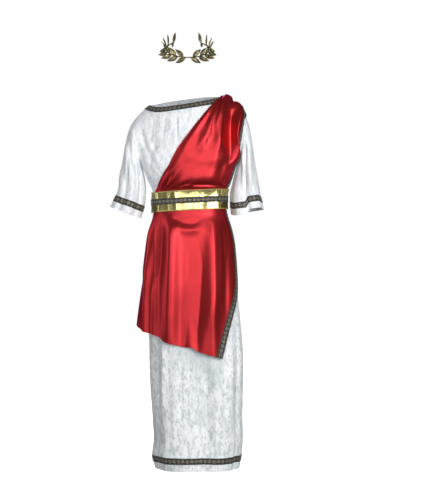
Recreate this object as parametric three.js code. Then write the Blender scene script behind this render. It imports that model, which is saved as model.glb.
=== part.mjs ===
// A worn Greek god costume with no wearer: a white velvet robe with wide sleeves, a red satin drape
// over the left shoulder, a gold belt and a gilt laurel wreath.
// Millimetres, +Z up. The front faces -Y and +X is the wearer's left. The origin lies midway between
// the two ends of the neckline, where the shoulders carry the robe. Every cloth piece is a thin wall.
import * as THREE from "three";

const { PI, sin, cos, abs, sign, sqrt, exp, max, min, hypot } = Math;
const QUARTER = PI / 2;

// Cloth and trim thicknesses, and the gap that parts two pieces at a seam
const VELVET = 1.6;
const SATIN = 1.4;
const BRAID = 1.2;
const BELT_CLOTH = 2.4;
const SEAM_GAP = 0.4;
const BRAID_WIDTH = 24;

// Heights on the robe, measured at its middle
const HEM = -1413;
const HEM_BAND = 28;
const BELT_TOP = -351;
const BELT_BOTTOM = -427;
const WAIST = (BELT_TOP + BELT_BOTTOM) / 2;
const CHEST = -258;
const RIDGE = 20;

// The shoulder line as seen from the front: it rises towards the left shoulder and falls off at both ends
const SHOULDER_TILT = 0.12;
const SHOULDER_DROP = 96;
const SHOULDER_REACH = 216;
const SHOULDER_CURVE = 3;

// The neckline and the outer edge of its braid, each two half ellipses seen from above
const NECK = { halfWidth: 139, front: 86, back: 50 };
const NECK_BRAID_OUTER = { halfWidth: 160, front: 99, back: 66 };

// How much squarer than an ellipse a section of the body is
const SQUARENESS = 0.1;

// How far the edge of an armhole bows forwards and backwards from the side seam
const ARMHOLE_BOW = 62;

// Level sections of the robe. Front and back are the depths from the side seam.
const SECTIONS = [
  { height: -1413, middle: 44, halfWidth: 161, front: 128, back: 124 },
  { height: -1363, middle: 42, halfWidth: 171, front: 130, back: 126 },
  { height: -1297, middle: 48, halfWidth: 170, front: 128, back: 126 },
  { height: -1228, middle: 45, halfWidth: 172, front: 126, back: 126 },
  { height: -1097, middle: 41, halfWidth: 178, front: 122, back: 128 },
  { height: -962, middle: 39, halfWidth: 179, front: 118, back: 130 },
  { height: -820, middle: 30, halfWidth: 175, front: 116, back: 130 },
  { height: -693, middle: 22, halfWidth: 171, front: 114, back: 128 },
  { height: -558, middle: 18, halfWidth: 162, front: 110, back: 122 },
  { height: -490, middle: 16, halfWidth: 152, front: 106, back: 112 },
  { height: -430, middle: 15, halfWidth: 140, front: 102, back: 102 },
  { height: -389, middle: 14, halfWidth: 139, front: 102, back: 100 },
  { height: -350, middle: 14, halfWidth: 142, front: 106, back: 102 },
  { height: -318, middle: 15, halfWidth: 157, front: 116, back: 109 },
  { height: -258, middle: 13, halfWidth: 179, front: 122, back: 116 },
  { height: -190, middle: 13, halfWidth: 196, front: 122, back: 116 },
  { height: -100, middle: 12, halfWidth: 212, front: 121, back: 112 },
  { height: 20, middle: 12, halfWidth: 216, front: 120, back: 110 },
];

// Soft folds of the robe, ridges with a positive depth and troughs with a negative one. Across runs from
// -1 at one side seam to 1 at the other, from the wearer's right to the left on the front and back again
// on the back. Lean is the change of place across from the bottom of a fold to its top.
const FRONT_FOLDS = [
  { across: -0.66, lean: 0.05, reach: 0.1, bottom: -1500, top: -620, depth: -9 },
  { across: -0.35, lean: 0.02, reach: 0.16, bottom: -1500, top: -560, depth: 6 },
  { across: 0.1, lean: -0.1, reach: 0.1, bottom: -1500, top: -900, depth: -15 },
  { across: 0.36, lean: 0, reach: 0.1, bottom: -1500, top: -1000, depth: 7 },
  { across: 0.66, lean: 0.02, reach: 0.1, bottom: -1500, top: -700, depth: -8 },
  { across: -0.62, lean: 0.12, reach: 0.06, bottom: -275, top: -90, depth: -7 },
  { across: -0.08, lean: 0.02, reach: 0.05, bottom: -280, top: -60, depth: -5 },
];
const BACK_FOLDS = [
  { across: -0.6, lean: -0.05, reach: 0.13, bottom: -1500, top: -560, depth: -9 },
  { across: -0.22, lean: 0.02, reach: 0.14, bottom: -1500, top: -480, depth: 9 },
  { across: 0.12, lean: 0, reach: 0.12, bottom: -1500, top: -640, depth: -12 },
  { across: 0.45, lean: 0.04, reach: 0.13, bottom: -1500, top: -500, depth: 8 },
  { across: 0.7, lean: 0.03, reach: 0.09, bottom: -1500, top: -760, depth: -8 },
];

// Sleeves. The cuff is an ellipse whose outer end is raised by the lift angle.
const SLEEVES = {
  right: {
    side: -1,
    cuff: { x: -214, y: -14, z: -388, halfWidth: 58, halfDepth: 68, lift: 0.36 },
    leaving: { top: [85, -60], front: [60, -110], under: [-50, -190] },
    arriving: { top: [60, -190], front: [34, -170], under: [24, -120] },
  },
  left: {
    side: 1,
    cuff: { x: 229, y: -14, z: -383, halfWidth: 59, halfDepth: 68, lift: 0.14 },
    leaving: { top: [80, -60], front: [60, -110], under: [-40, -190] },
    arriving: { top: [60, -190], front: [34, -170], under: [10, -130] },
  },
};
const CUFF_BAND = 25;
const CUFF_FLARE = 0.08;
const SLEEVE_SPAN = 100;

// Sleeve folds. Around runs from 0 at the top of the shoulder to 1 at the underarm by way of the front,
// and on to 2 by way of the back.
const SLEEVE_FOLDS = {
  right: [
    { around: 0.36, lean: 0.1, reach: 0.07, depth: -8 },
    { around: 0.55, lean: 0.06, reach: 0.1, depth: 5 },
    { around: 0.72, lean: 0.02, reach: 0.07, depth: -7 },
    { around: 1.35, lean: 0, reach: 0.1, depth: -6 },
    { around: 1.65, lean: 0, reach: 0.1, depth: 5 },
  ],
  left: [
    { around: 0.3, lean: 0, reach: 0.09, depth: 5 },
    { around: 0.5, lean: 0.04, reach: 0.07, depth: -9 },
    { around: 0.72, lean: 0, reach: 0.08, depth: 5 },
    { around: 1.3, lean: 0, reach: 0.1, depth: -6 },
    { around: 1.6, lean: 0, reach: 0.1, depth: 5 },
  ],
};

const mix = (a, b, share) => a + (b - a) * share;
const clamp = (x, low, high) => min(high, max(low, x));
const ease = (x) => {
  const t = clamp(x, 0, 1);
  return t * t * (3 - 2 * t);
};
const bump = (x) => exp(-x * x);

// A column of a table, read between its rows along a smooth curve through them.
function readColumn(table, key, name, at) {
  let i = 0;
  while (i < table.length - 2 && at > table[i + 1][key]) i += 1;
  const [a, b] = [table[i], table[i + 1]];
  const before = table[max(0, i - 1)];
  const after = table[min(table.length - 1, i + 2)];
  const span = b[key] - a[key];
  const t = clamp((at - a[key]) / span, -0.2, 1.2);
  const slopeA = (b[name] - before[name]) / (b[key] - before[key]);
  const slopeB = (after[name] - a[name]) / (after[key] - a[key]);
  const t2 = t * t;
  const t3 = t2 * t;
  return (
    (2 * t3 - 3 * t2 + 1) * a[name] +
    (t3 - 2 * t2 + t) * span * slopeA +
    (3 * t2 - 2 * t3) * b[name] +
    (t3 - t2) * span * slopeB
  );
}

const shoulderLine = (x) =>
  RIDGE + SHOULDER_TILT * x - SHOULDER_DROP * abs(x / SHOULDER_REACH) ** SHOULDER_CURVE;

// The height of a level in the yoke, from 0 at the chest line to 1 on the shoulder ridge. Levels crowd
// together at both, so that an armhole is round and the cloth rolls evenly over the shoulder.
const yokeHeight = (share) => mix(CHEST, RIDGE, (1 - cos(PI * share)) / 2);

// The general figure that the costume hangs on: a point of its front (facing 1) or back (facing -1).
// Across runs from -1 to 1, from right to left on the front and from left to right on the back, and
// out is how far the surface is moved outwards.
function figure(facing, across, height, out = 0) {
  const at = (name) => readColumn(SECTIONS, "height", name, height);
  const rise = clamp((height - CHEST) / (RIDGE - CHEST), 0, 1);
  const opened = ease(rise * 1.6);
  const lateral = mix(sin(across * QUARTER), across, opened);
  const forward = mix(cos(across * QUARTER), 1 - across * across, opened);
  const closing = sqrt(1 - rise ** 4);
  const depth = (at(facing > 0 ? "front" : "back") + out) * closing;
  const bow = ARMHOLE_BOW * sin(PI * rise) ** 0.75 * across ** 6;
  const x =
    at("middle") +
    facing * (at("halfWidth") + out) * lateral * (1 + SQUARENESS * forward * forward * (1 - opened));
  const y = -facing * (depth * forward * (1 + SQUARENESS * lateral * lateral) + bow);
  const z = rise > 0 ? CHEST + (shoulderLine(x) + out - CHEST) * rise : height;
  return new THREE.Vector3(x, y, z);
}

// How far up the yoke a column of the robe reaches before it meets the neckline.
function neckShare(facing, across) {
  const reach = facing > 0 ? NECK.front : NECK.back;
  const inside = (share) => {
    const p = figure(facing, across, yokeHeight(share));
    return hypot(p.x / NECK.halfWidth, p.y / reach) < 1;
  };
  if (!inside(1)) return 1;
  let [low, high] = [0.2, 1];
  for (let i = 0; i < 40; i += 1) {
    const middle = (low + high) / 2;
    if (inside(middle)) high = middle;
    else low = middle;
  }
  return high;
}

// The outward direction of a surface at a point. On the shoulder ridge it leans neither forwards nor back,
// so that the front and back pieces meet edge to edge.
function normalOf(surface, a, b, stepA = 0.002, stepB = 0.5) {
  const alongA = surface(a + stepA, b).sub(surface(a - stepA, b));
  const alongB = surface(a, b + stepB).sub(surface(a, b - stepB));
  const normal = alongA.cross(alongB);
  if (b === RIDGE) normal.y = 0;
  return normal.normalize();
}

// A surface moved outwards, by a depth that may change from point to point.
function withFolds(surface, depthAt) {
  return (a, b) => surface(a, b).addScaledVector(normalOf(surface, a, b), depthAt(a, b));
}

// A front or back panel of the robe without its folds. A row below the chest line is a height, and a row
// above it runs on to the ridge, squeezed below the neckline where a column ends there.
function robePanel(facing) {
  const shares = new Map();
  const columnTop = (across) => {
    const key = across.toFixed(5);
    if (!shares.has(key)) shares.set(key, neckShare(facing, across));
    return shares.get(key);
  };
  return (across, row) => {
    const share = clamp((row - CHEST) / (RIDGE - CHEST), 0, 1);
    const height = row > CHEST ? yokeHeight(share * columnTop(across)) : row;
    const p = figure(facing, across, height);
    p.y -= (facing * SEAM_GAP) / 2;
    return p;
  };
}

// Folds between their two ends, where each fades out. Along is the coordinate that runs up them.
function foldDepth(folds, across, along) {
  return folds.reduce((sum, f) => {
    const share = clamp((along - f.bottom) / (f.top - f.bottom), 0, 1);
    const place = f.across + f.lean * share;
    return sum + f.depth * sqrt(sin(PI * share)) * bump((across - place) / f.reach);
  }, 0);
}

// A closed wall around a surface, sampled at its columns and rows, each cell split along its shorter
// diagonal. A ring's last column meets its first.
function wall(surface, columns, rows, thickness, { lift = 0, ring = false, steps = [0.002, 0.5] } = {}) {
  const [wide, high] = [columns.length, rows.length];
  const points = [];
  for (const face of [0.5, -0.5]) {
    for (const row of rows) {
      for (const column of columns) {
        const normal = normalOf(surface, column, row, ...steps);
        points.push(surface(column, row).addScaledVector(normal, lift + face * thickness));
      }
    }
  }
  const index = [];
  const outer = (i, j) => j * wide + (i % wide);
  const inner = (i, j) => wide * high + outer(i, j);
  const quad = (a, b, c, d) => {
    const [first, second] = [points[a].distanceTo(points[c]), points[b].distanceTo(points[d])];
    if (first < second) index.push(a, b, c, a, c, d);
    else index.push(a, b, d, b, c, d);
  };
  const last = ring ? wide : wide - 1;
  for (let i = 0; i < last; i += 1) {
    for (let j = 0; j < high - 1; j += 1) {
      quad(outer(i, j), outer(i + 1, j), outer(i + 1, j + 1), outer(i, j + 1));
      quad(inner(i, j), inner(i, j + 1), inner(i + 1, j + 1), inner(i + 1, j));
    }
    quad(outer(i, 0), inner(i, 0), inner(i + 1, 0), outer(i + 1, 0));
    quad(outer(i, high - 1), outer(i + 1, high - 1), inner(i + 1, high - 1), inner(i, high - 1));
  }
  if (!ring) {
    for (let j = 0; j < high - 1; j += 1) {
      quad(outer(0, j), outer(0, j + 1), inner(0, j + 1), inner(0, j));
      quad(outer(last, j), inner(last, j), inner(last, j + 1), outer(last, j + 1));
    }
  }
  return new THREE.BufferGeometry().setFromPoints(points).setIndex(index);
}

const evenly = (from, to, count) =>
  Array.from({ length: count + 1 }, (_, i) => from + ((to - from) * i) / count);

const WHITE_VELVET = { color: 0xe9edf2, roughness: 0.6, metalness: 0 };
const RED_SATIN = { color: 0xd3201c, roughness: 0.35, metalness: 0 };
const DARK_BRAID = { color: 0x2b2620, roughness: 0.6, metalness: 0.2 };
const GOLD_LAME = { color: 0xc9a545, roughness: 0.3, metalness: 0.8 };
const GILT = { color: 0x9a8b4f, roughness: 0.4, metalness: 0.7 };

const costume = new THREE.Group();

function addPiece(name, geometry, finish) {
  const piece = new THREE.Mesh(geometry, new THREE.MeshStandardMaterial(finish));
  piece.name = name;
  costume.add(piece);
  return piece;
}

// Robe panels. A column of each ends on the two corners of the neckline.
const plainFront = robePanel(1);
const plainBack = robePanel(-1);
const robeFront = withFolds(plainFront, (across, row) => foldDepth(FRONT_FOLDS, across, row));
const robeBack = withFolds(plainBack, (across, row) => foldDepth(BACK_FOLDS, across, row));
const HEM_BRAID_ROWS = [HEM + HEM_BAND, HEM + HEM_BAND + BRAID_WIDTH];
const BODY_ROWS = [-1270, -1170, -1060, -950, -840, -735, -640, -560, -490, -435, WAIST, -345, -305];
const YOKE_STEPS = 11;
const ROBE_ROWS = [HEM, ...HEM_BRAID_ROWS, ...BODY_ROWS, ...evenly(CHEST, RIDGE, YOKE_STEPS)];
const SHOULDER = SECTIONS[SECTIONS.length - 1];
const NECK_CORNERS = [-1, 1].map((end) => (end * NECK.halfWidth - SHOULDER.middle) / SHOULDER.halfWidth);
const FRONT_COLUMNS = [
  ...evenly(-1, NECK_CORNERS[0], 4).slice(0, -1),
  ...evenly(NECK_CORNERS[0], NECK_CORNERS[1], 17),
  ...evenly(NECK_CORNERS[1], 1, 5).slice(1),
];
const BACK_COLUMNS = [
  ...evenly(-1, -NECK_CORNERS[1], 4).slice(0, -1),
  ...evenly(-NECK_CORNERS[1], -NECK_CORNERS[0], 12),
  ...evenly(-NECK_CORNERS[0], 1, 4).slice(1),
];
const frontPanel = addPiece("robe_front", wall(robeFront, FRONT_COLUMNS, ROBE_ROWS, VELVET), WHITE_VELVET);
const backPanel = addPiece("robe_back", wall(robeBack, BACK_COLUMNS, ROBE_ROWS, VELVET), WHITE_VELVET);

// Braid round the hem, one length to each panel
const ON_VELVET = VELVET / 2 + SEAM_GAP + BRAID / 2;
const hemBraidFront = wall(robeFront, FRONT_COLUMNS, HEM_BRAID_ROWS, BRAID, { lift: ON_VELVET });
const hemBraidBack = wall(robeBack, BACK_COLUMNS, HEM_BRAID_ROWS, BRAID, { lift: ON_VELVET });
addPiece("hem_braid_front", hemBraidFront, DARK_BRAID);
addPiece("hem_braid_back", hemBraidBack, DARK_BRAID);

// Braid round the neckline, one closed length laid on both panels. Around is an angle, and inwards runs in
// millimetres up to 0 at the inner edge of the braid.
const NECK_BRAID_WIDTH = 22;
const NECK_INSET = 1.5;
const downwards = new THREE.Raycaster();
function neckBraidSurface(around, inwards) {
  const share = (NECK_INSET - inwards) / (NECK_BRAID_WIDTH + NECK_INSET);
  const side = cos(around) > 0 ? "front" : "back";
  const x = sin(around) * mix(NECK.halfWidth, NECK_BRAID_OUTER.halfWidth, share);
  const y = -cos(around) * mix(NECK[side], NECK_BRAID_OUTER[side], share);
  downwards.set(new THREE.Vector3(x, y, 2 * RIDGE + 60), new THREE.Vector3(0, 0, -1));
  const hits = downwards.intersectObjects([frontPanel, backPanel]);
  return hits[0].point;
}
const neckColumns = evenly(0, 2 * PI, 56).slice(0, -1).map((angle) => angle + 0.03);
const neckRows = [-NECK_BRAID_WIDTH, -NECK_BRAID_WIDTH / 2, 0];
addPiece(
  "neck_braid",
  wall(neckBraidSurface, neckColumns, neckRows, BRAID, { lift: ON_VELVET + 0.7, ring: true, steps: [0.01, 0.4] }),
  DARK_BRAID,
);

// A sleeve, from the armhole's edge to the braid's upper edge and then straight on as the cuff
function sleeveSurface({ side, cuff, leaving, arriving }, folds) {
  const outward = new THREE.Vector3(side * cos(cuff.lift), 0, sin(cuff.lift));
  const along = new THREE.Vector3(side * sin(cuff.lift), 0, -cos(cuff.lift));
  const between = (pulls, around) => {
    const top = max(0, cos(around * PI));
    const under = max(0, -cos(around * PI));
    const front = 1 - top - under;
    return [0, 1].map((i) => top * pulls.top[i] + front * pulls.front[i] + under * pulls.under[i]);
  };
  const armhole = (around) => {
    const facing = around <= 1 ? 1 : -1;
    const share = around <= 1 ? 1 - around : around - 1;
    return figure(facing, facing * side, yokeHeight(share));
  };
  const plain = (around, row) => {
    const turn = ((around % 2) + 2) % 2;
    const apart = mix(SEAM_GAP, 2.6, ease(1 - abs(turn - 1) * 1.6));
    const start = armhole(turn);
    start.x += side * apart;
    const beyond = max(0, row - SLEEVE_SPAN);
    const flare = 1 + (CUFF_FLARE * beyond) / (CUFF_BAND + BRAID_WIDTH);
    const end = new THREE.Vector3(cuff.x, cuff.y, cuff.z)
      .addScaledVector(outward, cuff.halfWidth * flare * cos(turn * PI));
    end.y -= cuff.halfDepth * flare * sin(turn * PI);
    const share = clamp(row / SLEEVE_SPAN, 0, 1);
    const [s2, s3] = [share ** 2, share ** 3];
    const [leaveX, leaveZ] = between(leaving, turn);
    const [arriveX, arriveZ] = between(arriving, turn);
    const leave = new THREE.Vector3(side * leaveX, 0, leaveZ);
    const arrive = new THREE.Vector3(side * arriveX, 0, arriveZ);
    return start
      .multiplyScalar(2 * s3 - 3 * s2 + 1)
      .addScaledVector(leave, s3 - 2 * s2 + share)
      .addScaledVector(end, 3 * s2 - 2 * s3)
      .addScaledVector(arrive, s3 - s2)
      .addScaledVector(along, beyond);
  };
  const depthAt = (around, row) =>
    folds.reduce((sum, f) => {
      const share = clamp(row / SLEEVE_SPAN, 0, 1);
      const place = f.around + f.lean * (1 - share);
      return sum + f.depth * ease(share * 1.4) * bump((around - place) / f.reach);
    }, 0);
  return side < 0 ? withFolds(plain, (a, b) => -depthAt(a, b)) : withFolds(plain, depthAt);
}

const SLEEVE_COLUMNS = evenly(0, 2, 2 * YOKE_STEPS).slice(0, -1);
const CUFF_BRAID_ROWS = [SLEEVE_SPAN, SLEEVE_SPAN + BRAID_WIDTH];
const SLEEVE_ROWS = [
  ...evenly(0, SLEEVE_SPAN, 9).slice(0, -1), ...CUFF_BRAID_ROWS, SLEEVE_SPAN + BRAID_WIDTH + CUFF_BAND,
];
for (const [name, sleeve] of Object.entries(SLEEVES)) {
  const surface = sleeveSurface(sleeve, SLEEVE_FOLDS[name]);
  const facingOut = sleeve.side < 0 ? (a, b) => surface(-a, b) : surface;
  const cloth = wall(facingOut, SLEEVE_COLUMNS, SLEEVE_ROWS, VELVET, { ring: true });
  const braid = wall(facingOut, SLEEVE_COLUMNS, CUFF_BRAID_ROWS, BRAID, { ring: true, lift: ON_VELVET });
  addPiece(`sleeve_${name}`, cloth, WHITE_VELVET);
  addPiece(`sleeve_braid_${name}`, braid, DARK_BRAID);
}

// The drape lies on the robe from the belt to the left shoulder, front and back. Each row of its table
// gives the two edges across the panel, how proud the cloth stands of the robe at the inner edge, in the
// middle, at the braid and at the outer edge, and how far the braid reaches across the panel.
const DRAPE_FRONT = [
  { row: -389, inner: -0.78, outer: 0.8, atInner: 3.6, proud: 3.6, atBraid: 3.6, atOuter: 3.6, band: 0.12 },
  { row: -351, inner: -0.668, outer: 0.815, atInner: 3.8, proud: 4, atBraid: 4, atOuter: 4, band: 0.12 },
  { row: -342, inner: -0.6, outer: 0.82, atInner: 4, proud: 4.6, atBraid: 4.3, atOuter: 4, band: 0.12 },
  { row: -325, inner: -0.51, outer: 0.82, atInner: 4, proud: 10, atBraid: 8, atOuter: 4, band: 0.115 },
  { row: -298, inner: -0.4, outer: 0.82, atInner: 4, proud: 10, atBraid: 9, atOuter: 4, band: 0.1 },
  { row: -258, inner: -0.26, outer: 0.79, atInner: 4, proud: 9, atBraid: 11, atOuter: 4, band: 0.08 },
  { row: -222, inner: -0.24, outer: 0.81, atInner: 4, proud: 9, atBraid: 14, atOuter: 4, band: 0.07 },
  { row: -168, inner: -0.189, outer: 0.91, atInner: 4, proud: 10, atBraid: 17, atOuter: 5, band: 0.05 },
  { row: -124, inner: -0.122, outer: 0.95, atInner: 4, proud: 11, atBraid: 18, atOuter: 5, band: 0.045 },
  { row: -80, inner: 0.021, outer: 0.96, atInner: 4.5, proud: 12, atBraid: 18, atOuter: 5, band: 0.045 },
  { row: -44, inner: 0.2, outer: 0.965, atInner: 5, proud: 12, atBraid: 18, atOuter: 6, band: 0.05 },
  { row: -12, inner: 0.37, outer: 0.985, atInner: 7, proud: 12, atBraid: 17, atOuter: 9, band: 0.1 },
  { row: 20, inner: 0.56, outer: 0.985, atInner: 7, proud: 12, atBraid: 17, atOuter: 9, band: 0.1 },
];
const DRAPE_BACK = [
  { row: -389, inner: 0.62, outer: -0.8, atInner: 3.6, proud: 3.6, atBraid: 3.6, atOuter: 3.6, band: 0.12 },
  { row: -342, inner: 0.53, outer: -0.815, atInner: 4, proud: 4.5, atBraid: 4.5, atOuter: 4, band: 0.12 },
  { row: -310, inner: 0.42, outer: -0.82, atInner: 4, proud: 8, atBraid: 7, atOuter: 4, band: 0.105 },
  { row: -258, inner: 0.28, outer: -0.79, atInner: 4, proud: 9, atBraid: 9, atOuter: 4, band: 0.09 },
  { row: -200, inner: 0.2, outer: -0.85, atInner: 4, proud: 9, atBraid: 11, atOuter: 4, band: 0.08 },
  { row: -140, inner: 0.08, outer: -0.93, atInner: 4, proud: 10, atBraid: 12, atOuter: 5, band: 0.08 },
  { row: -80, inner: -0.1, outer: -0.96, atInner: 4.5, proud: 11, atBraid: 14, atOuter: 5, band: 0.08 },
  { row: -30, inner: -0.32, outer: -0.985, atInner: 7, proud: 12, atBraid: 17, atOuter: 9, band: 0.1 },
  { row: 20, inner: -0.56, outer: -0.985, atInner: 7, proud: 12, atBraid: 17, atOuter: 9, band: 0.1 },
];

// Folds of the drape run over the shoulder, from the foot on the front panel to the foot on the back one.
// Each place is 0 at the inner edge of the drape and 1 at its braid.
const FOLD_FOOT = -330;
const DRAPE_FOLDS = [
  { front: 0.24, shoulder: 0.2, back: 0.22, reach: 0.1, depth: -4 },
  { front: 0.62, shoulder: 0.46, back: 0.4, reach: 0.12, depth: 7 },
  { front: 0.75, shoulder: 0.68, back: 0.6, reach: 0.07, depth: -6 },
  { front: 0.86, shoulder: 0.88, back: 0.78, reach: 0.06, depth: 4 },
  { front: 0.94, shoulder: 1.12, back: 0.94, reach: 0.05, depth: -7 },
];
const foldsTo = (foot) =>
  DRAPE_FOLDS.map((f) => ({
    across: f[foot],
    lean: 2 * (f.shoulder - f[foot]),
    reach: f.reach,
    bottom: FOLD_FOOT,
    top: 2 * RIDGE - FOLD_FOOT,
    depth: f.depth,
  }));

// Place runs from 0 at the inner edge to 1 at the braid and 2 at the outer edge.
function drapeSurface(panel, facing, table, folds) {
  return (place, row) => {
    const at = (name) => readColumn(table, "row", name, min(row, RIDGE));
    const inside = min(1, place);
    const braid = at("outer") - facing * at("band");
    const across = place > 1 ? mix(braid, at("outer"), place - 1) : mix(at("inner"), braid, place);
    const body = mix(at("atInner"), at("proud"), ease(inside / 0.12));
    const level = mix(body, at("atBraid"), ease((inside - 0.55) / 0.45));
    const proud = place > 1 ? mix(at("atBraid"), at("atOuter"), ease(place - 1)) : level;
    const p = withFolds(panel, () => proud + foldDepth(folds, place, row))(across, row);
    p.y -= (facing * SEAM_GAP) / 2;
    return p;
  };
}

const drapeFront = drapeSurface(plainFront, 1, DRAPE_FRONT, foldsTo("front"));
const drapeBack = drapeSurface(plainBack, -1, DRAPE_BACK, foldsTo("back"));
const drapeBackOut = (place, row) => drapeBack(-place, row);
const ON_SATIN = SATIN / 2 + SEAM_GAP + BRAID / 2;
const DRAPE_STEPS = [0.004, 0.5];
const DRAPE_BOTTOM = WAIST + SEAM_GAP / 2;
const DRAPE_FRONT_ROWS = [
  DRAPE_BOTTOM, -372, -356, -345, -335, -325, -312, -298, -278, -258, -240, -222, -195, -168, -146, -124, -102,
  -80, -62, -44, -28, -12, 4, RIDGE,
];
const DRAPE_BACK_ROWS = [
  DRAPE_BOTTOM, -372, -356, -345, -335, -322, -310, -284, -258, -229, -200, -170, -140, -110, -80, -55, -30, -8, 8, RIDGE,
];
const DRAPE_COLUMNS = [...evenly(0, 1, 14), 1.5, 2];
const DRAPE_BACK_COLUMNS = [-2, -1.5, ...evenly(-1, 0, 9)];
const satinFront = wall(drapeFront, DRAPE_COLUMNS, DRAPE_FRONT_ROWS, SATIN, { steps: DRAPE_STEPS });
const satinBack = wall(drapeBackOut, DRAPE_BACK_COLUMNS, DRAPE_BACK_ROWS, SATIN, { steps: DRAPE_STEPS });
const onSatin = { lift: ON_SATIN, steps: DRAPE_STEPS };
const aboveBelt = (row) => row >= -335;
const drapeBraidFront = wall(drapeFront, [1, 1.5, 2], DRAPE_FRONT_ROWS.filter(aboveBelt), BRAID, onSatin);
const drapeBraidBack = wall(drapeBackOut, [-2, -1.5, -1], DRAPE_BACK_ROWS.filter(aboveBelt), BRAID, onSatin);
addPiece("drape_front", satinFront, RED_SATIN);
addPiece("drape_back", satinBack, RED_SATIN);
addPiece("drape_braid_front", drapeBraidFront, DARK_BRAID);
addPiece("drape_braid_back", drapeBraidBack, DARK_BRAID);

// The apron, the drape's tail, hangs from under the belt to a slanting hem. Fall is 0 at the waist and 1 at
// the hem. Each row gives the two edges across the front of the figure and how far off it they hang.
const APRON_HEM = { right: -866, left: -988 };
const APRON = [
  { fall: 0, right: -0.78, left: 0.86, offRight: 3.6, offMiddle: 3.6, offLeft: 3.6, band: 0.12 },
  { fall: 0.09, right: -0.75, left: 0.88, offRight: 3.8, offMiddle: 3.8, offLeft: 3.8, band: 0.12 },
  { fall: 0.2, right: -0.74, left: 0.9, offRight: 8, offMiddle: 9, offLeft: 8, band: 0.12 },
  { fall: 0.4, right: -0.76, left: 0.84, offRight: 12, offMiddle: 13, offLeft: 10, band: 0.11 },
  { fall: 0.55, right: -0.84, left: 0.73, offRight: 18, offMiddle: 15, offLeft: 12, band: 0.1 },
  { fall: 0.7, right: -0.9, left: 0.56, offRight: 27, offMiddle: 16, offLeft: 12, band: 0.095 },
  { fall: 0.85, right: -0.92, left: 0.42, offRight: 37, offMiddle: 17, offLeft: 12, band: 0.09 },
  { fall: 1, right: -0.93, left: 0.312, offRight: 47, offMiddle: 18, offLeft: 14, band: 0.085 },
];
const APRON_FOLDS = [
  { across: 0.12, lean: -0.04, reach: 0.08, bottom: 0.1, top: 1.8, depth: 6 },
  { across: 0.1, lean: 0.3, reach: 0.07, bottom: 0.1, top: 1.8, depth: -9 },
  { across: 0.28, lean: 0.3, reach: 0.08, bottom: 0.1, top: 1.8, depth: 7 },
  { across: 0.5, lean: 0.34, reach: 0.09, bottom: 0.2, top: 1.8, depth: -10 },
  { across: 0.74, lean: 0.2, reach: 0.07, bottom: 0.1, top: 1.8, depth: 7 },
];

// Place runs from 0 at the right edge to 1 at the braid and 2 at the left edge.
function apronSurface(place, fall) {
  const at = (name) => readColumn(APRON, "fall", name, fall);
  const inside = min(1, place);
  const braid = at("left") - at("band");
  const across = place > 1 ? mix(braid, at("left"), place - 1) : mix(at("right"), braid, place);
  const hem = mix(APRON_HEM.right, APRON_HEM.left, (across - APRON[7].right) / (APRON[7].left - APRON[7].right));
  const height = mix(WAIST - SEAM_GAP / 2, hem, fall);
  const body = mix(at("offRight"), at("offMiddle"), 1 - (1 - inside) ** 3);
  const off = mix(body, at("offLeft"), inside ** 3) + foldDepth(APRON_FOLDS, place, fall);
  const p = figure(1, across, height, off);
  p.y -= SEAM_GAP / 2;
  return p;
}

const APRON_ROWS = [1, 0.93, 0.86, 0.78, 0.7, 0.62, 0.54, 0.46, 0.38, 0.3, 0.22, 0.15, 0.1, 0.055, 0.03, 0];
const APRON_COLUMNS = [...evenly(0, 1, 18), 1.5, 2];
const APRON_STEPS = [0.004, -0.001];
const apron = wall(apronSurface, APRON_COLUMNS, APRON_ROWS, SATIN, { steps: APRON_STEPS });
const belowBelt = APRON_ROWS.filter((fall) => fall >= 0.055);
const apronBraid = wall(apronSurface, [1, 1.5, 2], belowBelt, BRAID, { lift: ON_SATIN, steps: APRON_STEPS });
addPiece("drape_apron", apron, RED_SATIN);
addPiece("apron_braid", apronBraid, DARK_BRAID);

// The belt is one strip round the waist, higher on the left, whose end lies over its start at the back.
// Turn is 0 at the middle of the back, 1 at the right side, 3 at the left side and 4 at the back again.
const BELT_OFF = 7.6;
const BELT_TILT = 0.05;
const BELT_END = 4.3;
const BELT_BRAID_WIDTH = 23;
const OVERLAP_RISE = BELT_CLOTH + BRAID + 3 * SEAM_GAP;
function beltSurface(turn, height) {
  const behind = turn < 1 || turn > 3;
  const across = turn < 1 ? turn : turn > 3 ? turn - 4 : turn - 2;
  const off = BELT_OFF + OVERLAP_RISE * ease((turn - 3.5) / 0.5);
  const level = figure(behind ? -1 : 1, across, height, off);
  return figure(behind ? -1 : 1, across, height + BELT_TILT * (level.x - SHOULDER.middle), off);
}
const BELT_COLUMNS = [...evenly(0, 1, 11), ...evenly(1, 3, 26).slice(1), ...evenly(3, BELT_END, 14).slice(1)];
const BELT_BRAID_ROWS = [WAIST - BELT_BRAID_WIDTH / 2, WAIST + BELT_BRAID_WIDTH / 2];
const ON_BELT = BELT_CLOTH / 2 + SEAM_GAP + BRAID / 2;
const beltBand = wall(beltSurface, BELT_COLUMNS, [BELT_BOTTOM, ...BELT_BRAID_ROWS, BELT_TOP], BELT_CLOTH);
const beltBraidColumns = BELT_COLUMNS.filter((turn) => turn > BELT_END - 4);
const beltBraid = wall(beltSurface, beltBraidColumns, BELT_BRAID_ROWS, BRAID, { lift: ON_BELT });
addPiece("belt_band", beltBand, GOLD_LAME);
addPiece("belt_braid", beltBraid, DARK_BRAID);

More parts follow.
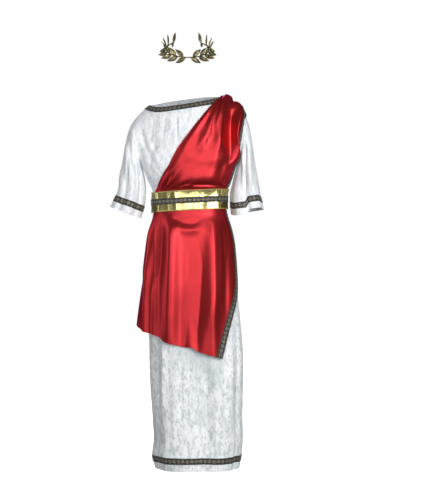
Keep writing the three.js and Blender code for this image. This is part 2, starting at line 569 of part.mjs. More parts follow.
// The wreath, a stem bent round the head and open at the front, with leaves in pairs along both halves.
// Turn is 0 at the back of the head, and positive towards the wearer's left.
const WREATH = { x: 6, y: 6, z: 196, halfWidth: 82, halfDepth: 100, rise: 34, open: 0.62 };
const STEM_RADIUS = 2.4;
const STEM_SIDES = 6;
const LEAF = { length: 44, halfWidth: 9, thickness: 1.8, cup: 3, stations: 5 };
const LEAF_STATIONS = 14;
const LEAF_CLEARANCE = STEM_RADIUS + SEAM_GAP;
const stemAt = (turn) =>
  new THREE.Vector3(
    WREATH.x + WREATH.halfWidth * sin(turn),
    WREATH.y + WREATH.halfDepth * cos(turn),
    WREATH.z - WREATH.rise * cos(turn) * 0.5,
  );

// A closed solid through rings of points, with a fan of faces at either end.
function loft(rings, start, end) {
  const sides = rings[0].length;
  const points = [...rings.flat(), start, end];
  const index = [];
  rings.slice(1).forEach((_, k) => {
    for (let i = 0; i < sides; i += 1) {
      const [a, b] = [k * sides + i, k * sides + ((i + 1) % sides)];
      index.push(a, b, b + sides, a, b + sides, a + sides);
    }
  });
  const last = (rings.length - 1) * sides;
  for (let i = 0; i < sides; i += 1) {
    const next = (i + 1) % sides;
    index.push(rings.length * sides, next, i, rings.length * sides + 1, last + i, last + next);
  }
  return new THREE.BufferGeometry().setFromPoints(points).setIndex(index);
}

function stem() {
  const end = PI - WREATH.open;
  const turns = evenly(-end, end, 36);
  const rings = turns.map((turn) => {
    const middle = stemAt(turn);
    const along = stemAt(turn + 0.01).sub(stemAt(turn - 0.01)).normalize();
    const out = along.clone().cross(new THREE.Vector3(0, 0, 1)).normalize();
    const up = out.clone().cross(along);
    return evenly(0, 2 * PI, STEM_SIDES).slice(1).map((angle) =>
      middle.clone().addScaledVector(up, STEM_RADIUS * cos(angle)).addScaledVector(out, STEM_RADIUS * sin(angle)),
    );
  });
  return loft(rings, stemAt(-end - 0.02), stemAt(end + 0.02));
}

// A cupped leaf from its foot along a direction, with its upper face towards the given side.
function leaf(foot, direction, upwards) {
  const along = direction.clone().normalize();
  const across = along.clone().cross(upwards).normalize();
  const face = across.clone().cross(along);
  const at = (share, side, lift) =>
    foot
      .clone()
      .addScaledVector(along, share * LEAF.length)
      .addScaledVector(across, side * LEAF.halfWidth * sin(PI * share ** 0.8))
      .addScaledVector(face, lift + LEAF.cup * (side * side - 4 * share * (1 - share)));
  const half = LEAF.thickness / 2;
  const rings = evenly(0, 1, LEAF.stations + 1).slice(1, -1).map((share) => [
    at(share, 1, 0), at(share, 0, -half), at(share, -1, 0), at(share, 0, half),
  ]);
  return loft(rings, at(0, 0, 0), at(1, 0, 0));
}

addPiece("wreath_stem", stem(), GILT);
evenly(-PI + WREATH.open + 0.12, PI - WREATH.open - 0.12, LEAF_STATIONS - 1).forEach((turn, station) => {
  const forward = stemAt(turn + 0.02 * sign(turn)).sub(stemAt(turn)).normalize();
  const out = new THREE.Vector3(sin(turn), cos(turn), 0);
  const up = new THREE.Vector3(0, 0, 1);
  for (const [row, lift, spread] of [["upper", 1, 0.5], ["lower", -0.55, 0.75]]) {
    const direction = forward.clone().addScaledVector(up, lift).addScaledVector(out, spread);
    const foot = stemAt(turn)
      .addScaledVector(up, sign(lift) * LEAF_CLEARANCE)
      .addScaledVector(forward, lift * 4);
    addPiece(`wreath_leaf_${row}_${station + 1}`, leaf(foot, direction, out), GILT);
  }
});

export default costume;
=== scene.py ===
"""The looks of a worn Greek god costume: a crushed velvet robe with wide sleeves, a satin drape with an
apron tail, woven braid, a lame belt and a gilt laurel wreath. Shapes are worked out in millimetres, as a
maker would note them, and every mesh is in metres."""
import math
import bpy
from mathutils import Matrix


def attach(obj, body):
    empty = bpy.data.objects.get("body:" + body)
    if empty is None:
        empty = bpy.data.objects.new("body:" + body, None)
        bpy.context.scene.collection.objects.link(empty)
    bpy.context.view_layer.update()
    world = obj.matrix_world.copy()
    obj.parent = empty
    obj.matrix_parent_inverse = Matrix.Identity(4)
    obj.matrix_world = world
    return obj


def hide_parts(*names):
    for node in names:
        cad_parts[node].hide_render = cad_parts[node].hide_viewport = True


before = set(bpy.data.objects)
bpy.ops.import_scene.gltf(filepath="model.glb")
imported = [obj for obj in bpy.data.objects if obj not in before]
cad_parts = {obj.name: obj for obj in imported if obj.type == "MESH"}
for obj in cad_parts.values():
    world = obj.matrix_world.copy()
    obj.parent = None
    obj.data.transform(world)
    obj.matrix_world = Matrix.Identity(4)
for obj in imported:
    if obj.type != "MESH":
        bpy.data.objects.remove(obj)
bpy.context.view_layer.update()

from types import SimpleNamespace

import bpy
import numpy as np
from mathutils import Matrix, Vector

bl_info = {
    "name": "Greek god costume",
    "version": (1, 0, 0),
    "blender": (4, 5, 0),
    "location": "3D View > Sidebar > Costume",
    "description": "Makes the cloth, trims and wreath of a worn Greek god costume",
    "category": "Object",
}

MM = 0.001
TURN = 2 * math.pi
UP = Vector((0, 0, 1))

# Thicknesses, the gap at a seam, and how a trim lies on its cloth
VELVET = 1.6
SATIN = 1.4
BRAID = 1.2
BELT_CLOTH = 2.4
LEAF_METAL = 1.0
SEAM_GAP = 0.4
TRIM_GAP = 0.15
TRIM_CORD = 0.35
BRAID_WIDTH = 24
BRAID_COLUMNS = 9

# Heights on the robe, the girth from a panel's middle to its side, and how many columns the front has
HEM = -1413
HEM_BAND = 28
BELT_TOP = -351
BELT_BOTTOM = -427
WAIST = (BELT_TOP + BELT_BOTTOM) / 2
CHEST = -258
RIDGE = 20
LOW_SKIRT = -800
PANEL_HALF_GIRTH = 260
ROBE_COLUMNS = 165

# The shoulder line, the neckline and the outer edge of its braid
SHOULDER_TILT = 0.12
SHOULDER_DROP = 96
SHOULDER_REACH = 216
SHOULDER_CURVE = 3
NECK = {"halfWidth": 139, "front": 86, "back": 50}
NECK_BRAID_OUTER = {"halfWidth": 160, "front": 99, "back": 66}
NECK_BRAID_INNER = 0.066
NECK_BRAID_WIDTH = 22
NECK_BRAID_SLACK = 0.5
NECK_COLUMNS = 241

# The robe under the neck braid is felt for from above it, beside the shoulder seam
OVER_NECK = 100
UNDER_NECK = -120
OFF_SEAM = 1.2

# How square the figure is, and how far the armholes bow out
SQUARENESS = 0.1
ARMHOLE_BOW = 62


def table(names, *rows):
    """A table whose columns are read by name."""
    return dict(zip(names.split(), np.array(rows, float).T))


SECTIONS = table(
    "height middle halfWidth front back",
    (-1413, 44, 161, 128, 124),
    (-1363, 42, 171, 130, 126),
    (-1297, 48, 170, 128, 126),
    (-1228, 45, 172, 126, 126),
    (-1097, 41, 178, 122, 128),
    (-962, 39, 179, 118, 130),
    (-820, 30, 175, 116, 130),
    (-693, 22, 171, 114, 128),
    (-558, 18, 162, 110, 122),
    (-490, 16, 152, 106, 112),
    (-430, 15, 140, 102, 102),
    (-389, 14, 139, 102, 100),
    (-350, 14, 142, 106, 102),
    (-318, 15, 157, 116, 109),
    (-258, 13, 179, 122, 116),
    (-190, 13, 196, 122, 116),
    (-100, 12, 212, 121, 112),
    (20, 12, 216, 120, 110),
)

# Folds that run up a panel: across, lean, reach, bottom, top, depth
FRONT_FOLDS = (
    (-0.66, 0.05, 0.1, -1500, -620, -9),
    (-0.35, 0.02, 0.16, -1500, -560, 6),
    (0.1, -0.1, 0.1, -1500, -900, -15),
    (0.36, 0, 0.1, -1500, -1000, 7),
    (0.66, 0.02, 0.1, -1500, -700, -8),
    (-0.62, 0.12, 0.06, -275, -90, -7),
    (-0.08, 0.02, 0.05, -280, -60, -5),
)
BACK_FOLDS = (
    (-0.6, -0.05, 0.13, -1500, -560, -9),
    (-0.22, 0.02, 0.14, -1500, -480, 9),
    (0.12, 0, 0.12, -1500, -640, -12),
    (0.45, 0.04, 0.13, -1500, -500, 8),
    (0.7, 0.03, 0.09, -1500, -760, -8),
)

# Creases, each a curve by way of three points (x, z), with its reach and its depth. A ridge has a
# positive depth and a trough a negative one. A curve is walked in straight parts, and the crease fades in
# over its first share and out over its last.
CREASE_PARTS = 12
CREASE_FADES_IN = 0.22
CREASE_FADES_OUT = 0.4
ROBE_CREASES = (
    ((-176, -95), (-154, -205), (-98, -284), 7, -5),
    ((-160, -100), (-136, -200), (-84, -272), 8, 3.5),
    ((-204, -110), (-182, -190), (-150, -262), 7, -3.5),
    ((-36, -66), (-33, -130), (-25, -205), 5.5, -4.5),
    ((-24, -64), (-20, -135), (-12, -190), 7, 2),
    ((-76, -66), (-84, -130), (-88, -185), 6, -2.5),
    ((-118, -66), (-130, -125), (-134, -180), 6, -2.5),
    ((-96, -64), (-104, -120), (-110, -190), 8, 2),
    ((-56, -64), (-58, -110), (-56, -150), 6, 1.6),
    ((-116, -346), (-112, -322), (-92, -290), 6, -3.5),
    ((-136, -344), (-138, -315), (-124, -280), 6, -3),
    ((-98, -344), (-88, -318), (-66, -296), 6, 2.4),
    ((-150, -260), (-120, -292), (-84, -312), 7, -2.5),
    ((-114, -890), (-116, -1040), (-119, -1235), 15, -6),
    ((-84, -870), (-82, -1050), (-87, -1270), 8, 5.5),
    ((-42, -900), (-39, -1100), (-44, -1395), 14, 3.5),
    ((-14, -960), (-12, -1120), (-16, -1300), 7, -3),
    ((13, -940), (15, -1120), (9, -1340), 8, -3.5),
    ((43, -930), (45, -1100), (47, -1370), 12, 4.5),
    ((83, -990), (84, -1130), (87, -1400), 12, -7),
    ((113, -1000), (113, -1140), (117, -1400), 8, 5.5),
    ((146, -960), (149, -1100), (151, -1390), 12, -6),
    ((175, -940), (177, -1080), (176, -1300), 9, 4.5),
    ((-166, -952), (-140, -975), (-112, -968), 6, -3),
    ((-150, -1000), (-128, -1020), (-104, -1012), 6, -2),
    ((-142, -1112), (-120, -1132), (-92, -1126), 6, -3.5),
    ((-130, -1180), (-104, -1196), (-74, -1186), 6, -2.4),
    ((150, -1150), (188, -1172), (216, -1196), 7, -4),
    ((140, -1100), (176, -1118), (210, -1128), 7, -3),
    ((20, -1230), (52, -1246), (90, -1240), 7, -2.4),
    ((60, -1040), (96, -1052), (128, -1044), 7, -2.4),
)
BACK_CREASES = (
    ((-150, -90), (-120, -190), (-96, -300), 9, -4),
    ((-124, -96), (-96, -190), (-74, -300), 9, 3),
    ((126, -110), (104, -200), (80, -296), 9, -3.5),
    ((-40, -80), (-44, -160), (-40, -250), 8, -3),
    ((-130, -470), (-124, -620), (-130, -900), 11, -4.5),
    ((-96, -450), (-88, -640), (-96, -1000), 11, 3.5),
    ((-60, -448), (-52, -560), (-54, -760), 8, -3.5),
    ((-10, -450), (-6, -600), (-14, -860), 10, 3.5),
    ((42, -450), (52, -640), (50, -980), 10, -4),
    ((92, -450), (98, -600), (104, -900), 11, 3.5),
    ((136, -480), (142, -640), (150, -960), 10, -4),
    ((-134, -900), (-120, -1120), (-124, -1390), 12, -5),
    ((-88, -940), (-76, -1150), (-84, -1400), 9, 4),
    ((-20, -880), (-26, -1100), (-20, -1390), 12, -5),
    ((20, -960), (22, -1180), (30, -1400), 9, 4),
    ((74, -900), (72, -1100), (78, -1390), 11, -5),
    ((120, -930), (122, -1120), (126, -1400), 9, 4),
    ((166, -880), (168, -1080), (170, -1360), 10, -4),
    ((-120, -1010), (-90, -1030), (-50, -1022), 7, -2.5),
    ((70, -1150), (110, -1168), (150, -1160), 7, -2.5),
)

# Sleeves: the cuff's middle, its half width and half depth, its slant, how far its front is hitched up, and
# the pulls that leave the armhole and arrive at the cuff, at the top, the front and the underarm
SLEEVES = {
    "right": {
        "side": -1,
        "cuff": (-214, -14, -388),
        "half": (58, 68),
        "lift": 0.36,
        "hitch": 0,
        "leaving": ((85, -60), (60, -110), (-50, -190)),
        "arriving": ((60, -190), (34, -170), (24, -120)),
    },
    "left": {
        "side": 1,
        "cuff": (229, -14, -383),
        "half": (59, 68),
        "lift": 0.14,
        "hitch": 9,
        "leaving": ((80, -60), (60, -110), (-40, -190)),
        "arriving": ((60, -190), (34, -170), (10, -130)),
    },
}
CUFF_BAND = 25
CUFF_FLARE = 0.08
SLEEVE_SPAN = 100
SLEEVE_COLUMNS = 141
SLEEVE_HALF_GIRTH = 190
SLEEVE_ROW_LENGTH = 3

# Sleeve folds: around, lean, reach, depth
SLEEVE_FOLDS = {
    "right": (
        (0.36, 0.1, 0.07, -8), (0.55, 0.06, 0.1, 5), (0.72, 0.02, 0.07, -7), (1.35, 0, 0.1, -6),
        (1.65, 0, 0.1, 5),
    ),
    "left": (
        (0.3, 0, 0.09, 5), (0.5, 0.04, 0.07, -9), (0.72, 0, 0.08, 5), (1.3, 0, 0.1, -6), (1.6, 0, 0.1, 5),
    ),
}
SLEEVE_CREASES = {
    "right": (
        ((-222, -130), (-208, -245), (-180, -385), 6.5, -6),
        ((-234, -140), (-220, -255), (-195, -390), 7, 4),
        ((-243, -210), (-236, -300), (-226, -380), 6, -4.5),
        ((-210, -80), (-198, -130), (-190, -190), 5, -4),
        ((-263, -250), (-264, -320), (-258, -390), 8, -3.5),
        ((-252, -180), (-256, -280), (-246, -380), 8, 3),
        ((-196, -230), (-186, -300), (-170, -372), 6, 3),
    ),
    "left": (
        ((229, -105), (228, -240), (226, -370), 6, -7),
        ((241, -130), (243, -250), (243, -380), 6, 4),
        ((252, -190), (258, -290), (263, -385), 8, -3.5),
        ((213, -230), (209, -300), (205, -375), 6, -4.5),
        ((219, -200), (217, -290), (214, -380), 5, 3),
        ((272, -260), (277, -330), (278, -390), 8, 3),
    ),
}

# The drape: each row gives its two edges, how proud it stands at its inner edge, in the middle, at the
# braid and at the outer edge, and how far the braid reaches across the panel. Where a fold would bring
# the cloth closer than CLOSEST, it is pressed to a share of its depth.
CLOSEST = 3.2
DRAPE_BOTTOM = WAIST + SEAM_GAP / 2
DRAPE_BRAID_FOOT = -335
DRAPE_COLUMNS = "row inner outer atInner proud atBraid atOuter band"
DRAPE_FRONT = table(
    DRAPE_COLUMNS,
    (-389, -0.78, 0.8, 3.6, 3.6, 3.6, 3.6, 0.12),
    (-351, -0.668, 0.815, 3.8, 4, 4, 4, 0.12),
    (-342, -0.6, 0.82, 4, 4.6, 4.3, 4, 0.12),
    (-325, -0.51, 0.82, 4, 10, 8, 4, 0.115),
    (-298, -0.4, 0.82, 4, 10, 9, 4, 0.1),
    (-258, -0.26, 0.79, 4, 9, 11, 4, 0.08),
    (-222, -0.24, 0.81, 4, 9, 14, 4, 0.07),
    (-168, -0.189, 0.91, 4, 10, 17, 5, 0.05),
    (-124, -0.122, 0.95, 4, 11, 18, 5, 0.045),
    (-80, 0.021, 0.96, 4.5, 12, 18, 5, 0.045),
    (-44, 0.2, 0.965, 5, 12, 18, 6, 0.05),
    (-12, 0.37, 0.985, 7, 12, 17, 9, 0.1),
    (20, 0.56, 0.985, 7, 12, 17, 9, 0.1),
)
DRAPE_BACK = table(
    DRAPE_COLUMNS,
    (-389, 0.62, -0.8, 3.6, 3.6, 3.6, 3.6, 0.12),
    (-342, 0.53, -0.815, 4, 4.5, 4.5, 4, 0.12),
    (-310, 0.42, -0.82, 4, 8, 7, 4, 0.105),
    (-258, 0.28, -0.79, 4, 9, 9, 4, 0.09),
    (-200, 0.2, -0.85, 4, 9, 11, 4, 0.08),
    (-140, 0.08, -0.93, 4, 10, 12, 5, 0.08),
    (-80, -0.1, -0.96, 4.5, 11, 14, 5, 0.08),
    (-30, -0.32, -0.985, 7, 12, 17, 9, 0.1),
    (20, -0.56, -0.985, 7, 12, 17, 9, 0.1),
)

# Folds over the shoulder: their places on the front, the shoulder and the back, reach and depth. The
# long ones run down to FOLD_FOOT and the short pleats to PLEAT_FOOT.
FOLD_FOOT = -330
PLEAT_FOOT = -150
DRAPE_FOLDS = (
    (0.24, 0.2, 0.22, 0.1, -4),
    (0.62, 0.46, 0.4, 0.12, 7),
    (0.75, 0.68, 0.6, 0.07, -6),
    (0.86, 0.88, 0.78, 0.06, 4),
    (0.94, 1.12, 0.94, 0.05, -7),
)
SHOULDER_FOLDS = (
    (0.42, 0.1, 0.2, 0.05, -2.4),
    (0.5, 0.3, 0.34, 0.05, -3),
    (0.56, 0.38, 0.42, 0.04, 2.4),
    (0.7, 0.56, 0.52, 0.045, -3),
    (0.8, 0.78, 0.7, 0.04, 3),
    (0.9, 1.0, 0.86, 0.04, 3),
)
DRAPE_CREASES = (
    ((110, -24), (88, -120), (34, -250), 15, 6),
    ((146, -20), (132, -128), (98, -262), 15, 8),
    ((178, -30), (156, -130), (168, -290), 11, -17),
    ((164, -96), (176, -180), (150, -292), 6, -5),
    ((203, -40), (190, -130), (184, -280), 11, 10),
    ((18, -332), (84, -325), (150, -336), 6, -11),
    ((0, -308), (76, -300), (150, -314), 10, 7),
    ((-98, -344), (-94, -318), (-74, -280), 5, -6),
    ((-82, -344), (-72, -316), (-44, -286), 5, -6),
    ((-90, -344), (-82, -318), (-58, -282), 4.5, 5),
    ((-62, -344), (-48, -322), (-16, -300), 5, -5),
    ((-72, -344), (-60, -322), (-30, -294), 4.5, 4),
    ((-30, -340), (-4, -325), (40, -320), 5, -5.5),
    ((150, -338), (158, -300), (154, -256), 6, -6),
    ((20, -252), (84, -232), (140, -250), 18, 2),
    ((84, -130), (44, -190), (-20, -290), 20, 2.5),
)
DRAPE_BACK_CREASES = (
    ((110, -30), (80, -120), (36, -230), 10, 4.5),
    ((132, -28), (112, -130), (70, -250), 8, -4.5),
    ((156, -30), (140, -130), (110, -260), 9, 4.5),
    ((176, -36), (160, -130), (140, -270), 7, -5),
    ((192, -40), (180, -120), (166, -240), 7, 4),
    ((60, -90), (20, -180), (-20, -270), 9, -3),
    ((90, -330), (96, -300), (110, -270), 6, -3),
    ((30, -332), (40, -305), (60, -280), 6, -3),
    ((-20, -330), (0, -305), (30, -290), 6, -2.6),
)

# The apron: each row gives its two edges and how far off the figure it hangs
APRON_HEM = {"right": -866, "left": -988}
APRON = table(
    "fall right left offRight offMiddle offLeft band",
    (0, -0.78, 0.86, 3.6, 3.6, 3.6, 0.12),
    (0.09, -0.75, 0.88, 3.8, 3.8, 3.8, 0.12),
    (0.2, -0.74, 0.9, 8, 9, 8, 0.12),
    (0.4, -0.76, 0.84, 12, 13, 10, 0.11),
    (0.55, -0.84, 0.73, 18, 15, 12, 0.1),
    (0.7, -0.9, 0.56, 27, 16, 12, 0.095),
    (0.85, -0.92, 0.42, 37, 17, 12, 0.09),
    (1, -0.93, 0.312, 47, 18, 14, 0.085),
)

# Folds of the apron: across, lean, reach, and along its fall the bottom, top and depth
APRON_FOLDS = (
    (0.12, -0.04, 0.08, 0.1, 1.8, 6),
    (0.1, 0.3, 0.07, 0.1, 1.8, -9),
    (0.28, 0.3, 0.08, 0.1, 1.8, 7),
    (0.5, 0.34, 0.09, 0.2, 1.8, -10),
    (0.74, 0.2, 0.07, 0.1, 1.8, 7),
)
APRON_CREASES = (
    ((-98, -430), (-106, -620), (-112, -1160), 18, -9),
    ((-46, -430), (-52, -640), (-56, -1200), 25, 17),
    ((-138, -430), (-148, -600), (-162, -1140), 13, 9),
    ((-168, -640), (-174, -760), (-184, -1140), 10, -6),
    ((38, -560), (46, -780), (50, -1240), 21, -9),
    ((94, -430), (106, -690), (102, -1240), 22, 13),
    ((-66, -448), (4, -494), (80, -450), 15, -5),
    ((-52, -480), (8, -530), (76, -484), 15, 3),
    ((146, -440), (158, -600), (150, -900), 12, -5),
)

# Where the apron's hem lifts beside a fold, and by how much. Its braid starts a little under the belt.
HEM_LIFTS = ((-92, 9), (36, 8))
APRON_BRAID_TOP = 0.055

# The belt runs through quarter turns from the middle of the back, and its end laps over its start
BELT_OFF = 7.6
BELT_TILT = 0.05
BELT_END = 4.3
BELT_ROWS = 33
BELT_BRAID_WIDTH = 23
OVERLAP_RISE = BELT_CLOTH + BRAID + 3 * SEAM_GAP

# The wreath's middle, its size, how far its ends rise, and the half angle that is left open in front
WREATH = {"x": 6, "y": 6, "z": 196, "halfWidth": 82, "halfDepth": 100, "rise": 34, "open": 0.62}
STEM_RADIUS = 2.4
LEAF = {"length": 44, "halfWidth": 9, "cup": 3}
LEAF_STATIONS = 14
LEAF_CLEARANCE = STEM_RADIUS + SEAM_GAP
LEAFLESS_END = 0.12
GILT_SMOOTH = 50

# The viewpoint, the floor, and the lights: place, size and power of each
CAMERA_AT = (0.1136, -5.2, -0.5775)
CAMERA_LENS = 97.24
CAMERA_SENSOR = 36.0
CAMERA_REACH = 60
FLOOR = -1.462
FLOOR_SIZE = 40
FLOOR_GLOW = 0.95
SKY_GLOW = 0.16
LIT_PLACE = (0.05, 0, -0.6)
LIGHTS = (
    ("key_light", (2.2, -3.2, 0.3), (1.2, 2.8), 103),
    ("front_light", (-0.4, -6.6, 0.6), (4.4, 3.6), 182),
    ("side_light", (-3.0, -0.4, 0.1), (0.8, 2.4), 18),
    ("back_light", (-0.6, 4.2, 0.9), (2.4, 2.8), 105),
)


def mix(a, b, share):
    return a + (b - a) * share


def ease(x):
    t = np.clip(x, 0, 1)
    return t * t * (3 - 2 * t)


def hermite(t):
    """On a smooth curve, the shares of its start, the slope there, its end and the slope there."""
    t2, t3 = t**2, t**3
    return 2 * t3 - 3 * t2 + 1, t3 - 2 * t2 + t, 3 * t2 - 2 * t3, t3 - t2


def by_way_of(place, start, middle, end):
    """From the start at 0 by way of the middle at 1 to the end at 2."""
    return np.where(place > 1, mix(middle, end, place - 1), mix(start, middle, place))


def read_column(rows, key, name, at):
    """A column of a table, read between its rows along a smooth curve through them."""
    keys, values = rows[key], rows[name]
    last = len(keys) - 1
    i = np.clip(np.searchsorted(keys, at) - 1, 0, last - 1)
    before, after = np.maximum(i - 1, 0), np.minimum(i + 2, last)
    span = keys[i + 1] - keys[i]
    t = np.clip((at - keys[i]) / span, -0.2, 1.2)
    slope_a = (values[i + 1] - values[before]) / (keys[i + 1] - keys[before])
    slope_b = (values[after] - values[i]) / (keys[after] - keys[i])
    start, leaving, end, arriving = hermite(t)
    slopes = leaving * span * slope_a, arriving * span * slope_b
    return start * values[i] + slopes[0] + end * values[i + 1] + slopes[1]


def shoulder_line(x):
    return RIDGE + SHOULDER_TILT * x - SHOULDER_DROP * np.abs(x / SHOULDER_REACH) ** SHOULDER_CURVE


def yoke_height(share):
    return mix(CHEST, RIDGE, (1 - np.cos(np.pi * share)) / 2)


def figure(facing, across, height, out=0):
    """The general figure that the costume hangs on, at places across its front (1) or back (-1)."""
    def at(name):
        return read_column(SECTIONS, "height", name, height)

    rise = np.clip((height - CHEST) / (RIDGE - CHEST), 0, 1)
    opened = ease(rise * 1.6)
    lateral = mix(np.sin(across * np.pi / 2), across, opened)
    forward = mix(np.cos(across * np.pi / 2), 1 - across**2, opened)
    closing = np.sqrt(1 - rise**4)
    depth = (at("front" if facing > 0 else "back") + out) * closing
    bow = ARMHOLE_BOW * np.maximum(np.sin(np.pi * rise), 0) ** 0.75 * across**6
    wide = 1 + SQUARENESS * forward**2 * (1 - opened)
    x = at("middle") + facing * (at("halfWidth") + out) * lateral * wide
    y = -facing * (depth * forward * (1 + SQUARENESS * lateral**2) + bow)
    z = np.where(rise > 0, CHEST + (shoulder_line(x) + out - CHEST) * rise, height)
    return np.stack([x, y, z + 0 * x], axis=-1)


def neck_shares(facing, across):
    """How far up the yoke each column reaches before it meets the neckline."""
    reach = NECK["front" if facing > 0 else "back"]

    def inside(share):
        p = figure(facing, across, yoke_height(share))
        return np.hypot(p[..., 0] / NECK["halfWidth"], p[..., 1] / reach) < 1

    low, high = np.full_like(across, 0.2), np.ones_like(across)
    meets = inside(high)
    for _ in range(40):
        middle = (low + high) / 2
        within = inside(middle)
        low, high = np.where(within, low, middle), np.where(within, middle, high)
    return np.where(meets, high, 1.0)


ACROSS_SAMPLES = np.linspace(-1.1, 1.1, 4401)
NECK_SHARES = {facing: neck_shares(facing, ACROSS_SAMPLES) for facing in (1, -1)}


def robe_panel(facing):
    """A front or back panel of the robe without its folds, as a function of across and row."""
    def surface(across, row):
        share = np.clip((row - CHEST) / (RIDGE - CHEST), 0, 1)
        top = np.interp(across, ACROSS_SAMPLES, NECK_SHARES[facing])
        height = np.where(row > CHEST, yoke_height(share * top), row)
        p = figure(facing, across, height)
        p[..., 1] -= facing * SEAM_GAP / 2
        return p

    return surface


def both_wide(a, b):
    return np.broadcast_arrays(np.asarray(a, float), np.asarray(b, float))


def outward(along, up):
    """Unit vectors square to two directions on a surface."""
    n = np.cross(along, up)
    return n / np.maximum(np.linalg.norm(n, axis=-1, keepdims=True), 1e-9)


def moved(surface, depth_at, step=0.002, row_step=0.5):
    """A surface moved outwards by a depth that may change from point to point."""
    def shifted(a, b):
        a, b = both_wide(a, b)
        p = surface(a, b)
        along = surface(a + step, b) - surface(a - step, b)
        up = surface(a, b + row_step) - surface(a, b - row_step)
        return p + outward(along, up) * np.asarray(depth_at(a, b, p))[..., None]

    return shifted


def lifted(surface, lift):
    return moved(surface, lambda a, b, p: np.full(np.shape(a), lift))


def raised(points, height, ring=False):
    """A grid of points moved outwards by one height, or by one for each of its rows."""
    if ring:
        wide = np.concatenate([points[:, -2:-1], points, points[:, 1:2]], axis=1)
        along = (wide[:, 2:] - wide[:, :-2]) / 2
    else:
        along = np.gradient(points, axis=1)
    return points + outward(along, np.gradient(points, axis=0)) * np.reshape(height, (-1, 1, 1))


def fold_depth(folds, across, along):
    total = 0
    for place, lean, reach, bottom, top, depth in folds:
        share = np.clip((along - bottom) / (top - bottom), 0, 1)
        swell = np.sqrt(np.maximum(np.sin(np.pi * share), 0))
        total = total + depth * swell * np.exp(-(((across - place - lean * share) / reach) ** 2))
    return total


def crease_depth(creases, p, shift=(0, 0)):
    """Creases drawn as curves on the cloth as it is seen from the front or from behind."""
    x, z = p[..., 0] + shift[0], p[..., 2] + shift[1]
    total = np.zeros(x.shape)
    for start, by, end, reach, depth in creases:
        t = np.linspace(0, 1, CREASE_PARTS + 1)[:, None]
        path = (1 - t) ** 2 * np.array(start) + 2 * t * (1 - t) * np.array(by) + t**2 * np.array(end)
        low, high = path.min(0) - 3 * reach, path.max(0) + 3 * reach
        near = (x > low[0]) & (x < high[0]) & (z > low[1]) & (z < high[1])
        if not near.any():
            continue
        px, pz = x[near], z[near]
        best, place = np.full(px.shape, np.inf), np.zeros(px.shape)
        for i, (a, b) in enumerate(zip(path[:-1], path[1:])):
            d = b - a
            s = np.clip(((px - a[0]) * d[0] + (pz - a[1]) * d[1]) / (d @ d), 0, 1)
            off = np.hypot(px - a[0] - s * d[0], pz - a[1] - s * d[1])
            closer = off < best
            best, place = np.where(closer, off, best), np.where(closer, (i + s) / CREASE_PARTS, place)
        fade = ease(place / CREASE_FADES_IN) * ease((1 - place) / CREASE_FADES_OUT)
        total[near] += depth * fade * np.exp(-((best / reach) ** 2))
    return total


def held_off(depth, lowest, share):
    """A depth whose part below the lowest is pressed to a share of itself."""
    return np.maximum(depth, lowest + share * (depth - lowest))


def ripple(across, along, wave_a, wave_b, turn=0.0):
    """A soft unevenness, the sum of a few crossing waves, from -1 to 1."""
    a, b = across / wave_a * 2 * np.pi, along / wave_b * 2 * np.pi
    return (
        np.sin(a + 0.7 * np.sin(b * 0.6 + turn) + turn)
        + 0.7 * np.sin(1.63 * a - 0.35 * b + 2.1 + turn)
        + 0.6 * np.sin(b + 0.8 * np.sin(0.53 * a) + 4.2 * turn)
    ) / 2.3


def lengths_along(points, axis):
    """Distances along a row or column through the middle of a grid of points, in metres."""
    line = points[points.shape[0] // 2] if axis else points[:, points.shape[1] // 2]
    steps = np.linalg.norm(np.diff(line, axis=0), axis=1)
    return np.concatenate([[0], np.cumsum(steps)]) * MM


def cloth_uv(points, strip=False):
    """Places on the flat cloth in metres. Across a strip they run from 0 to 1 instead."""
    u, v = lengths_along(points, 1), lengths_along(points, 0)
    if strip:
        v = v / v[-1]
    return np.stack(np.meshgrid(u, v), axis=-1)


def sheet_of(name, points):
    """A bare mesh through a grid of points in millimetres, the only thing selected."""
    high, wide = points.shape[:2]
    bpy.ops.object.select_all(action="DESELECT")
    bpy.ops.mesh.primitive_grid_add(x_subdivisions=wide - 1, y_subdivisions=high - 1, size=1, calc_uvs=True)
    piece = bpy.context.object
    piece.name = piece.data.name = name
    made = len(piece.data.vertices)
    if made != wide * high:
        raise RuntimeError(f"{name}: the grid has {made} points instead of {wide * high}")
    piece.data.vertices.foreach_set("co", (points * MM).reshape(-1).astype(np.float32))
    piece.data.update()
    return piece


def join_ends(threshold, capped=False):
    """Merges the edges where a rolled sheet meets itself, and may close the tube's two ends."""
    bpy.ops.object.mode_set(mode="EDIT")
    bpy.ops.mesh.select_all(action="SELECT")
    bpy.ops.mesh.remove_doubles(threshold=threshold)
    if capped:
        bpy.ops.mesh.fill_holes(sides=0)
        bpy.ops.mesh.select_all(action="SELECT")
        bpy.ops.mesh.normals_make_consistent(inside=False)
    bpy.ops.object.mode_set(mode="OBJECT")


def woven(name, points, uv, thickness, ring=False, smooth=35):
    """A thin piece through a grid of points in millimetres, given its thickness on both sides."""
    piece = sheet_of(name, points)
    corners = np.zeros(len(piece.data.loops), np.int32)
    piece.data.loops.foreach_get("vertex_index", corners)
    flat = uv.reshape(-1, 2)[corners].astype(np.float32)
    piece.data.uv_layers.active.data.foreach_set("uv", flat.reshape(-1))
    if ring:
        join_ends(1e-5)
    wall = piece.modifiers.new("wall", "SOLIDIFY")
    wall.thickness = thickness * MM
    wall.offset = 0
    wall.use_rim = True
    bpy.ops.object.modifier_apply(modifier=wall.name)
    bpy.ops.object.shade_smooth_by_angle(angle=math.radians(smooth))
    return piece


def dress(piece, node, finish):
    """Gives a finished piece its body and its material, and hides the imported part of the node it stands
    for.
    """
    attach(piece, "root")
    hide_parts(node)
    piece.data.materials.clear()
    piece.data.materials.append(finish)


